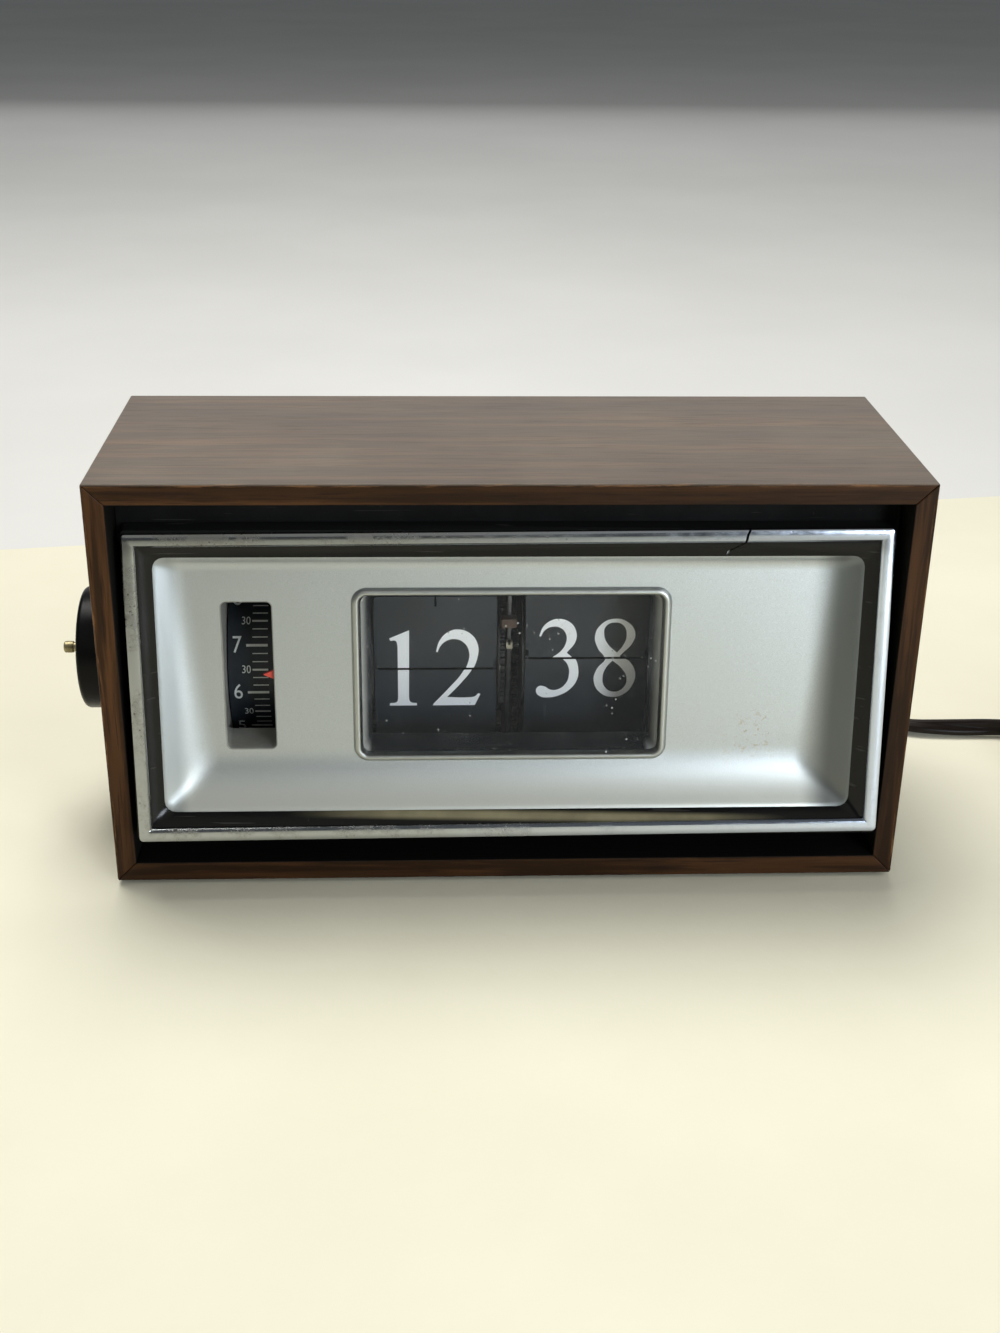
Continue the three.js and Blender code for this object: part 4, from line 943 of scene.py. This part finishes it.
def make_dial():
    """A sheet on a fine grid, with the holes for the alarm slot and the window."""
    columns, rows, crease = 190, 74, 50
    past_side, past_bottom, past_top = 2, 2, 1.6
    bottom, height = RIM_BOTTOM_Z - past_bottom, RIM_TOP_Z - RIM_BOTTOM_Z + past_bottom + past_top
    shape = bmesh.new()
    grid = []
    for j in range(rows + 1):
        z = bottom + height * j / rows
        line = []
        for i in range(columns + 1):
            x = (DIAL_WIDTH / 2 + past_side) * (2 * i / columns - 1)
            line.append(shape.verts.new((x, dial_depth(x, z), z)))
        grid.append(line)
    for a, b in zip(grid, grid[1:]):
        for i in range(columns):
            shape.faces.new((a[i], a[i + 1], b[i + 1], b[i]))
    bmesh.ops.recalc_face_normals(shape, faces=shape.faces)
    dial = piece("dial_face", shape, SILVER, "silver", replaces=("dial_panel",), crease=crease)
    thick = dial.modifiers.new("thick", "SOLIDIFY")
    thick.thickness = 1.1 * MM
    thick.offset = -1
    bake(dial)
    slot = rounded(SLOT_RIGHT - SLOT_LEFT + 0.3, SLOT_TOP - SLOT_BOTTOM + 0.3, 1.7, 6, SLOT_X, SLOT_Z)
    cut(dial, prism(slot, -6, 30), crease=crease)
    window = rounded(WINDOW_WIDTH - 0.6, WINDOW_HEIGHT - 0.6, WINDOW_CORNER - 0.3)
    cut(dial, prism(window, -9, 9), place=WINDOW, crease=crease)


def make_slot():
    """The tunnel behind the alarm slot: its lip rolls into the dial, its left side reaches to the drum. Its
    grey is the dial's silver darkened by painted shade.
    """
    lip = ((0.8, 0.9), (0.26, 0.03), (0.12, -0.04), (-0.04, 0.03), (-0.15, 0.25), (-0.2, 0.8))
    rings = [slot_ring(grow, lambda x, z: dial_depth(x, z) + behind) for grow, behind in lip]
    cheek = DRUM_LEFT - 0.4
    inwards = cheek - SLOT_LEFT - 0.2
    for grow in (-0.2, 0.8):
        ring = slot_ring(grow, lambda x, z: SLOT_BACK)
        rings.append([(x if x > SLOT_X else x + inwards, y, z) for x, y, z in ring])
    side = block(cheek - 0.8, cheek, SLOT_BACK - 0.5, SLOT_BACK + 22, SLOT_BOTTOM - 10, SLOT_TOP)
    piece("alarm_slot", together(skin(rings, loop=True), soften(side, 0.2)), SHADED_SILVER, "silver")


def make_window():
    """A raised bead round the window, with a step down to the pane, and the funnel between pane and flaps."""
    profile = [
        (-0.6, 1.2), (-0.6, 0.3), (-0.4, -0.2), (-0.2, -0.65), (0.2, -1.05), (0.8, -1.25), (1.25, -1.1),
        (1.5, -0.7), (1.62, -0.2), (1.8, 0.1), (1.8, 2.0),
    ]
    bead = framed([window_section(inset, y, WINDOW_CORNER - inset) for inset, y in profile], 8, loop=True)
    rim = {"place": WINDOW, "crease": 60}
    piece("window_bead", bead, RIM_SILVER, "silver", replaces=("window_rim",), **rim)
    walls = ((1.95, 1.0), (4.3, 8.0), (3.7, 8.0), (1.95, 2.4))
    sections = [window_section(inset, y, WINDOW_CORNER - 0.8 * inset) for inset, y in walls]
    piece("window_funnel", framed(sections, 8, loop=True), FUNNEL_GREY, "silver", **rim)


# ---------- numerals
# Outlines on a grid 100 high. A point with a third value is a corner; the others are smooth.
ONE = [[
    (26.5, 100, 1), (25.3, 10, 1), (27.4, 4.8), (35.6, 3.2, 1), (35.6, 0, 1), (0, 0, 1), (0.5, 3.2, 1),
    (9.3, 4.8), (11.2, 10, 1), (11.4, 79, 1), (9, 86.3), (2.2, 86.4, 1), (0.8, 89.5, 1),
]]
TWO = [[
    (4.2, 72.2, 1), (9, 86.5), (20, 97.5), (33.5, 100.7), (49.5, 94.5), (58.5, 79.8), (57.8, 64), (51, 47.6),
    (37, 29.8), (18.7, 11, 1), (46, 10.4), (55, 11.8), (59.3, 15.8, 1), (62.2, 14.8, 1), (54.8, 0, 1),
    (0, 0, 1), (1.2, 2.4, 1), (20.9, 22.8), (38, 42.6), (46, 59), (47, 71.5), (40.8, 83.2), (28.3, 88.4),
    (16.2, 85.2), (9.4, 78.5), (6.4, 71.6, 1),
]]
THREE = [[
    (4.9, 80, 1), (10.2, 92.2), (19.5, 99.6), (29.5, 101.9), (43.2, 98.2), (52, 87.5), (52.4, 73.5),
    (41.2, 58.4, 1), (50.2, 49.5), (55, 35.5), (54, 22), (45.8, 9.6), (32, 1), (17, -2.1), (5.6, -0.4),
    (0.3, 6.4), (4, 12.8), (10.8, 12.6), (19.5, 8), (29.2, 8.6), (38.6, 15.4), (43, 27.5), (41.4, 39.8),
    (34.8, 47.8), (22.9, 52.4, 1), (33.6, 60.4), (39.8, 71.2), (39.9, 81.5), (33, 90), (22.9, 92),
    (12.2, 87.6), (7.1, 79.2, 1),
]]
EIGHT = [
    [
        (27, 101.9), (43.6, 97.2), (53.6, 83.8), (50.6, 70.6), (37.2, 56), (35.2, 53.2), (46, 45),
        (54.2, 29.9), (50.6, 12.6), (40, 1.6), (27, -2), (9.6, 3.6), (0.2, 20.1), (3.7, 35), (14.8, 50.6),
        (6.4, 63), (1.6, 79), (9.2, 94.6),
    ],
    [(27.8, 97), (15.8, 92.6), (13.6, 80.5), (19.2, 68.6), (31, 58, 1), (38.6, 67.4), (42.6, 80.8), (38, 93)],
    [
        (23.8, 46.2, 1), (16.2, 37.6), (11.8, 25.2), (15.6, 10.6), (27, 4.9), (38.8, 9.4), (43.4, 22.6),
        (36, 36),
    ],
]
NINE = [
    [
        (3, -2.5, 1), (24, 6), (44, 26), (55, 56), (53, 84), (42, 98), (27, 102), (9, 95), (1, 72), (8, 51),
        (22, 43.5), (38, 51, 1), (30, 27), (16, 9), (2, 0.5, 1),
    ],
    [(27, 97), (17, 92), (12.5, 76), (16, 57), (26, 49), (38, 56), (42, 72), (38, 90)],
]
DIGIT_HEIGHT, DIGIT_NARROWING = 23.8, 0.915
PRINT = 0.05
UPRIGHT = rotation(90, "X")
FLAP_BACK_Y, FLAP_Y = 30.0, 29.75
LEAF_ABOVE, STACK_BELOW = 0.55, 0.45


def outline(glyph, left, bottom):
    """A digit as a flat shape in (x, z), with its left and bottom edges at the given places."""
    curve = bpy.data.curves.new("digit", "CURVE")
    curve.dimensions = "2D"
    curve.fill_mode = "BOTH"
    curve.resolution_u = 6
    unit = DIGIT_HEIGHT / 100
    for loop in glyph:
        spline = curve.splines.new("BEZIER")
        spline.use_cyclic_u = True
        spline.bezier_points.add(len(loop) - 1)
        for point, (x, z, *corner) in zip(spline.bezier_points, loop):
            point.co = (left + x * unit * DIGIT_NARROWING, bottom + z * unit, 0)
            point.handle_left_type = point.handle_right_type = "VECTOR" if corner else "AUTO"
    curve.extrude = PRINT / 2
    return as_shape(placed("digit", curve), UPRIGHT)


def bisect(shape, level, **sides):
    """Adds edges where a level plane meets the shape."""
    geometry = shape.verts[:] + shape.edges[:] + shape.faces[:]
    return bmesh.ops.bisect_plane(shape, geom=geometry, plane_co=(0, 0, level), plane_no=(0, 0, 1), **sides)


def half(shape, level, upper):
    """The part of a shape above or below a level, closed where it is cut."""
    made = bisect(shape, level, clear_inner=upper, clear_outer=not upper)
    edges = [e for e in made["geom_cut"] if isinstance(e, bmesh.types.BMEdge)]
    bmesh.ops.holes_fill(shape, edges=[e for e in edges if e.is_boundary])
    return shape


def halves(number, split, upper):
    """The upper or lower halves of a number's digits: (glyph, left, bottom) for each."""
    return together(*[half(outline(glyph, left, bottom), split, upper) for glyph, left, bottom in number])


class Drum:
    """Where one drum's flaps hang, and the numbers on them: what shows now, and what shows after one fall.

    split is the height of the hinge, angle its place on the drum and step the way to the next, in degrees.
    shift is how far the print on the leaf stands beside the print below it.
    """

    def __init__(self, name, leaf, split, angle, step, shift, now, after):
        low, high = extent(leaf)
        self.name, self.leaf, self.split, self.angle, self.step = name, leaf, split, angle, step
        self.left, self.right, self.top = low.x, high.x, high.z
        self.now, self.after, self.shift = now, after, shift


# Where the drums' shaft is, and how far from it the flaps are hinged.
SHAFT_Y, SHAFT_Z, ROOT = 47.5, 49.6, 16.3
MINUTES = Drum(
    "minute", "minute_front_flap", split=53.1, angle=12.5, step=6, shift=-0.5,
    now=[(THREE, 8.69, 41.15), (EIGHT, 25.13, 41.15)], after=[(THREE, 8.69, 41.15), (NINE, 25.13, 41.15)],
)
HOURS = Drum(
    "hour", "hour_front_flap", split=50.0, angle=2.5, step=15, shift=0,
    now=[(ONE, -32.93, 38.35), (TWO, -20.61, 38.35)], after=[(ONE, -24.0, 38.35)],
)


def leaf_shape(drum):
    """One flap: a card with rounded top corners, a nick over its middle, and steps by its two pins."""
    half_width, top, bottom = (drum.right - drum.left) / 2, drum.top, drum.split + LEAF_ABOVE
    side, nick, nick_depth = 0.9, 0.28, 2.9
    right = [
        (half_width - side, bottom), (half_width - side, bottom + 2.2), (half_width, bottom + 2.8),
        (half_width, top - 1.2), (half_width - 0.4, top - 0.4), (half_width - 1.2, top), (nick, top),
        (nick, top - nick_depth),
    ]
    left = [(-x, z) for x, z in reversed(right)]
    points = [((drum.left + drum.right) / 2 + x, z) for x, z in right + left]
    shapes = [soften(prism(points, FLAP_Y, 2 * FLAP_BACK_Y - FLAP_Y), 0.06, 1)]
    for start in (drum.left, drum.right - side):
        end = start + side
        pin = [(0, start), (0.28, start), (0.28, end), (0, end)]
        shapes.append(turned(pin, 12, "x", (FLAP_BACK_Y, drum.split + 0.6)))
    return together(*shapes)


def make_flaps(drum):
    """The leaf that falls next, the number that shows, and the number that comes after it."""
    body = drum.name + "_leaf"
    above, below = drum.split + LEAF_ABOVE, drum.split - STACK_BELOW

    def number(part, digits, level, upper, place, body):
        shape = halves(digits, level, upper)
        piece(f"{drum.name}_{part}", shape, WHITE, "charcoal", place=place, body=body)

    piece(body + "_card", leaf_shape(drum), CARD, "charcoal", body=body, replaces=(drum.leaf,))
    ahead = CLOCK @ Matrix.Translation((drum.shift, FLAP_Y - PRINT / 2, 0))
    number("number_upper", drum.now, above, True, ahead, body)
    stack_front = FLAP_BACK_Y + 0.55
    lower = CLOCK @ Matrix.Translation((0, stack_front - PRINT / 2, 0))
    number("number_lower", drum.now, below, False, lower, "clock")
    # Painted shadow: a matt black strip stands for the dark gap between the falling leaf and the card below.
    gap = block(drum.left + 0.9, drum.right - 0.9, stack_front - 0.12, stack_front + 0.1, below, above + 0.3)
    piece(drum.name + "_hinge_shadow_strip", soften(gap, 0.05), SHADOW_BLACK, "charcoal")
    # The lower half of the number that comes next waits on the back of the leaf.
    hinge = Matrix.Translation((0, FLAP_BACK_Y, drum.split)) @ rotation(180, "X")
    behind = CLOCK @ hinge @ Matrix.Translation((0, FLAP_Y - PRINT / 2 - FLAP_BACK_Y, -drum.split))
    number("next_lower", drum.after, drum.split - LEAF_ABOVE, False, behind, body)
    # Its upper half stands on the flap behind the leaf, one step of the drum further up.
    here, further = math.radians(drum.angle), math.radians(drum.angle + drum.step)
    root = Vector((0, SHAFT_Y - ROOT * math.cos(further), SHAFT_Z + ROOT * math.sin(further)))
    waiting = CLOCK @ Matrix.Translation(root) @ rotation(-drum.step, "X")
    hinge_z = SHAFT_Z + ROOT * math.sin(here)
    waiting = waiting @ Matrix.Translation((0, FLAP_Y - FLAP_BACK_Y - PRINT / 2, -hinge_z))
    number("next_upper", drum.after, above, True, waiting, "clock")


def make_divider():
    """Between the drums: a folded strip from the crossbar to the centre plate, with a block and a clip."""
    low, high = extent("centre_plate")
    bar = extent("top_crossbar")[0]
    left, right, middle = low.x + 0.05, high.x - 0.05, (low.x + high.x) / 2
    front, block_z, clip_z = FLAP_BACK_Y + 3.6, 63.7, 56.6
    strip = soften(block(left, right, front, low.y - 0.3, high.z - 14, bar.z - 0.4), 0.15)
    hook = soften(block(left, right, front, bar.y - 0.2, bar.z - 1.6, bar.z + 3), 0.15)
    piece("divider_strip", together(strip, hook), DARK_STEEL, "sheet_steel")
    sections = ((0.2, 4.2, 2.4, 0.5), (0.5, 4.6, 2.8, 0.6), (3.5, 4.6, 2.8, 0.6))
    at_block = CLOCK @ Matrix.Translation((middle - 0.2, FLAP_BACK_Y, block_z))
    piece("divider_block", soften(framed(sections, 6), 0.1), BROWN_BLOCK, "black_plastic", place=at_block)
    arms = [(0.9, -1.0), (0.9, 1.0), (0.35, 1.0), (0.35, 0.2)]
    clip = prism([*arms, *[(-x, z) for x, z in reversed(arms)]], 1.2, 3.5)
    at_clip = CLOCK @ Matrix.Translation((middle, FLAP_BACK_Y, clip_z))
    piece("divider_clip", soften(clip, 0.12), CLIP_CREAM, "cream_plastic", place=at_clip)


# ---------- alarm drum, knob and shaft
# Length and thickness of each kind of mark, and where marks and numerals stand on the drum, in x.
HOUR_TICK, HALF_TICK, SHORT_TICK = (5.9, 0.72), (4.3, 0.52), (4.2, 0.28)
TICKS_RIGHT, HOURS_X, THIRTY_X = -66.0, -74.5, -72.0
TICKS_PER_HOUR = 6
HOUR_HEIGHT, THIRTY_HEIGHT = 4.9, 2.35
# The time, in hours, that the pointer shows, and how far it stands above the shaft, in degrees.
SHOWN_TIME, SHOWN_ANGLE = 6.43, 7.5
SHAFT = (SHAFT_Y, SHAFT_Z)
TUBE_SEAT = 3.6


def around_drum(shape, hours):
    """Wraps a flat shape in (x, z), z = 0 at its middle, on the alarm drum at a time of its scale."""
    for level in range(-5, 6):
        bisect(shape, 0.5 * level)
    middle = math.radians(SHOWN_ANGLE + 30 * (hours - SHOWN_TIME))
    for vertex in shape.verts:
        x, y, z = vertex.co
        angle, reach = middle + z / DRUM_RADIUS, DRUM_RADIUS - y
        vertex.co = (x, SHAFT_Y - reach * math.cos(angle), SHAFT_Z + reach * math.sin(angle))
    return shape


def lettering(text, height, x):
    """Small plain numerals as a flat shape, centred on (x, 0)."""
    size_per_height, narrowing = 1.37, 0.82
    curve = bpy.data.curves.new("numeral", "FONT")
    curve.body = text
    curve.size = height * size_per_height
    curve.align_x = "CENTER"
    curve.align_y = "CENTER"
    curve.extrude = 0.03
    curve.resolution_u = 4
    place = Matrix.Translation((x, 0, 0)) @ UPRIGHT @ Matrix.Diagonal((narrowing, 1, 1, 1))
    return as_shape(placed("numeral", curve), place)


def make_alarm_drum():
    """A hollow drum on the alarm tube, with the marks and numerals of twelve hours round it."""
    left, right, wall, seat = DRUM_LEFT, drum_high.x, 1.5, TUBE_SEAT
    inside = DRUM_RADIUS - wall
    profile = [
        (seat, right - 8), (seat + 2, right - 8), (seat + 2, right - wall), (inside, right - wall),
        (inside, left + 0.1), (DRUM_RADIUS - 0.1, left), (DRUM_RADIUS, left + 0.2),
        (DRUM_RADIUS, right - 0.2), (DRUM_RADIUS - 0.2, right), (seat, right),
    ]
    drum = turned(profile, 120, "x", SHAFT, loop=True)
    piece("alarm_dial_drum", drum, CARD, "charcoal", body="alarm_setting", replaces=("alarm_drum",))
    prints = []
    for mark in range(12 * TICKS_PER_HOUR):
        sixth = mark % TICKS_PER_HOUR
        length, thick = {0: HOUR_TICK, TICKS_PER_HOUR // 2: HALF_TICK}.get(sixth, SHORT_TICK)
        tick = block(TICKS_RIGHT - length, TICKS_RIGHT, -0.05, 0.01, -thick / 2, thick / 2)
        prints.append(around_drum(tick, mark / TICKS_PER_HOUR))
    for hour in range(12):
        prints.append(around_drum(lettering(str(hour or 12), HOUR_HEIGHT, HOURS_X), hour))
        prints.append(around_drum(lettering("30", THIRTY_HEIGHT, THIRTY_X), hour + 0.5))
    piece("alarm_dial_print", together(*prints), DIM_WHITE, "charcoal", body="alarm_setting")


def make_knob():
    """A disc with a rounded rim, a flat face and a hollow back, seated on the alarm tube."""
    low, high = extent("alarm_knob")
    radius, bore, seat = (high.z - low.z) / 2, 2.0, TUBE_SEAT
    outer, inner, back = low.x, high.x, extent("alarm_tube")[0].x - 0.3
    edge, rim = [], 1.4
    for i in range(9):
        angle = math.radians(90 * i / 8)
        edge.append((radius - rim + rim * math.sin(angle), outer + rim - rim * math.cos(angle)))
    profile = [
        (seat, inner), (seat, back), (bore, back), (bore, outer + 1.0), (bore + 0.3, outer + 0.6),
        (5.0, outer + 0.55), (5.6, outer + 0.1), *edge, (radius, inner - 0.4), (radius - 0.3, inner),
        (radius - 1.6, inner), (radius - 2, inner - 6), (seat + 3, inner - 6), (seat + 3, inner),
    ]
    shape = turned(profile, 96, "x", SHAFT, loop=True)
    nodes = ("alarm_knob",)
    piece("alarm_knob_disc", shape, KNOB_BLACK, "black_plastic", body="alarm_setting", replaces=nodes)


def make_shaft():
    """The drum shaft: a rounded end with a neck, where a small cap once sat, and a plain rod behind it."""
    end, far_end = (corner.x for corner in extent("drum_shaft"))
    radius, neck = 1.7, 1.35
    profile = [
        (0, end), (radius - 0.35, end), (radius, end + 0.35), (radius, end + 2.5), (radius - 0.12, end + 2.7),
        (neck, end + 2.8), (neck, end + 4.0), (radius, end + 4.3), (radius, far_end - 0.2), (0, far_end),
    ]
    shape = turned(profile, 40, "x", SHAFT)
    piece("setting_shaft", shape, SHAFT_GREY, "brass", body="minute_drum", replaces=("drum_shaft",))


# ---------- back of the case
def make_screw(node):
    """A pan-head screw with a cross recess."""
    low, high = extent(node)
    x, z = middle_of(node)
    seat, top, shank, head = high.y - 1.3, high.y, 1.25, (high.z - low.z) / 2
    profile = [
        (0, low.y), (0.5, low.y + 0.4), (shank, low.y + 2.2), (shank, seat), (head, seat),
        (head, seat + 0.35), (head - 0.35, seat + 0.85), (head - 0.9, top - 0.08), (0, top),
    ]
    shape = turned(profile, 36, "y", (x, z))
    screw = piece(node + "_pan", shape, STEEL, "sheet_steel", replaces=(node,))
    narrow, wide, bottom, above = 0.26, 0.55 * head, top - 0.9, top + 1
    across = block(x - wide, x + wide, bottom, above, z - narrow, z + narrow)
    upright = block(x - narrow, x + narrow, bottom, above, z - wide, z + wide)
    cut(screw, across, upright)


def make_switch():
    """The slide of the alarm switch, with ribs for the thumb."""
    low, high = extent("alarm_switch")
    inside, outside = (corner.y for corner in extent("rear_cover"))
    x, z = middle_of("alarm_switch")
    left, right, bottom, top = x - 4.5, x + 4.5, z - 3, z + 3
    shapes = [
        block(x - 2, x + 2, inside - 1.3, outside + 1, z - 1.5, z + 1.5),
        block(left, right, low.y, inside - 0.3, bottom, top),
        soften(block(left, right, outside + 0.3, high.y - 0.9, bottom, top), 0.3),
    ]
    for rib in (-2, -1, 0, 1, 2):
        middle = x + 1.65 * rib
        ridge = block(middle - 0.45, middle + 0.45, high.y - 1.1, high.y, z - 2.6, z + 2.6)
        shapes.append(soften(ridge, 0.25))
    nodes = ("alarm_switch",)
    piece("switch_slide", together(*shapes), KNOB_BLACK, "black_plastic", body="alarm_switch", replaces=nodes)


make_bezel()
make_chrome_ring()
make_dial()
make_slot()
make_window()
for drum in (MINUTES, HOURS):
    make_flaps(drum)
make_divider()
make_alarm_drum()
make_knob()
make_shaft()
for row in ("lower", "upper"):
    for side in ("left", "right"):
        make_screw(f"rear_screw_{row}_{side}")
make_switch()


# ---------- studio
def ground(name, look, corners):
    mesh = bpy.data.meshes.new(name)
    mesh.from_pydata([CLOCK @ Vector((x, y, TABLE_Z)) for x, y in corners], [], [range(len(corners))])
    mesh.materials.append(look)
    placed(name, mesh)


def lamp(name, power, size, place, target, color=(1, 1, 1)):
    """A soft light of (width, height) metres, at a place of the shared frame, that faces a target."""
    data = bpy.data.lights.new(name, "AREA")
    data.energy = power
    data.shape = "RECTANGLE"
    data.size, data.size_y = size
    data.color = color
    thing = placed(name, data)
    thing.location = place
    thing.rotation_euler = (Vector(target) - Vector(place)).to_track_quat("-Z", "Y").to_euler()


def make_studio():
    """A pale table that ends a hand's width behind the clock, plain ground behind it, and soft light."""
    near, far, side = -4000, 6000, 5000
    rear_left, rear_right = (-side, -456), (side, 1034)
    cream, paler_cream = (0.81, 0.78, 0.62), (0.85, 0.82, 0.66)
    grey, paler_grey = (0.71, 0.71, 0.69), (0.75, 0.75, 0.73)
    table = ground_look("table_top", cream, paler_cream, 9, 170, 0.12, rough=(0.55, 0.65), shine=0.3)
    plain = ground_look("backdrop", grey, paler_grey, 4, 220, 0.1, rough=(0.8, 0.8), shine=0.5)
    ground("table", table, [(-side, near), (side, near), rear_right, rear_left])
    ground("ground", plain, [rear_left, rear_right, (side, far), (-side, far)])
    world = bpy.data.worlds.new("studio")
    world.use_nodes = True
    sky = next(n for n in world.node_tree.nodes if n.type == "BACKGROUND")
    sky.inputs["Color"].default_value = (0.92, 0.97, 1.0, 1)
    sky.inputs["Strength"].default_value = 0.13
    SCENE.world = world
    lamp("high_light", 15, (0.8, 0.6), (-0.17, 0.32, 1.2), (0, 0, 0.02), (1.0, 0.98, 0.94))
    lamp("front_light", 6.4, (0.32, 0.4), (0.57, -1.0, 0.26), (0, 0, 0.06), (0.84, 0.92, 1.0))
    lamp("ceiling", 2.4, (1.8, 1.2), (0, -1.1, 0.95), (0, 0, 0.06), (1.0, 0.96, 0.84))
    lamp("side_light", 3, (0.7, 0.6), (1.0, -0.45, 0.8), (0.15, 0, 0), (1.0, 0.98, 0.95))
    lamp("back_glow", 3, (2.4, 0.6), (0, 1.7, 0.5), (0, 0, 0.08))
    SCENE.view_settings.view_transform = "Standard"


make_studio()
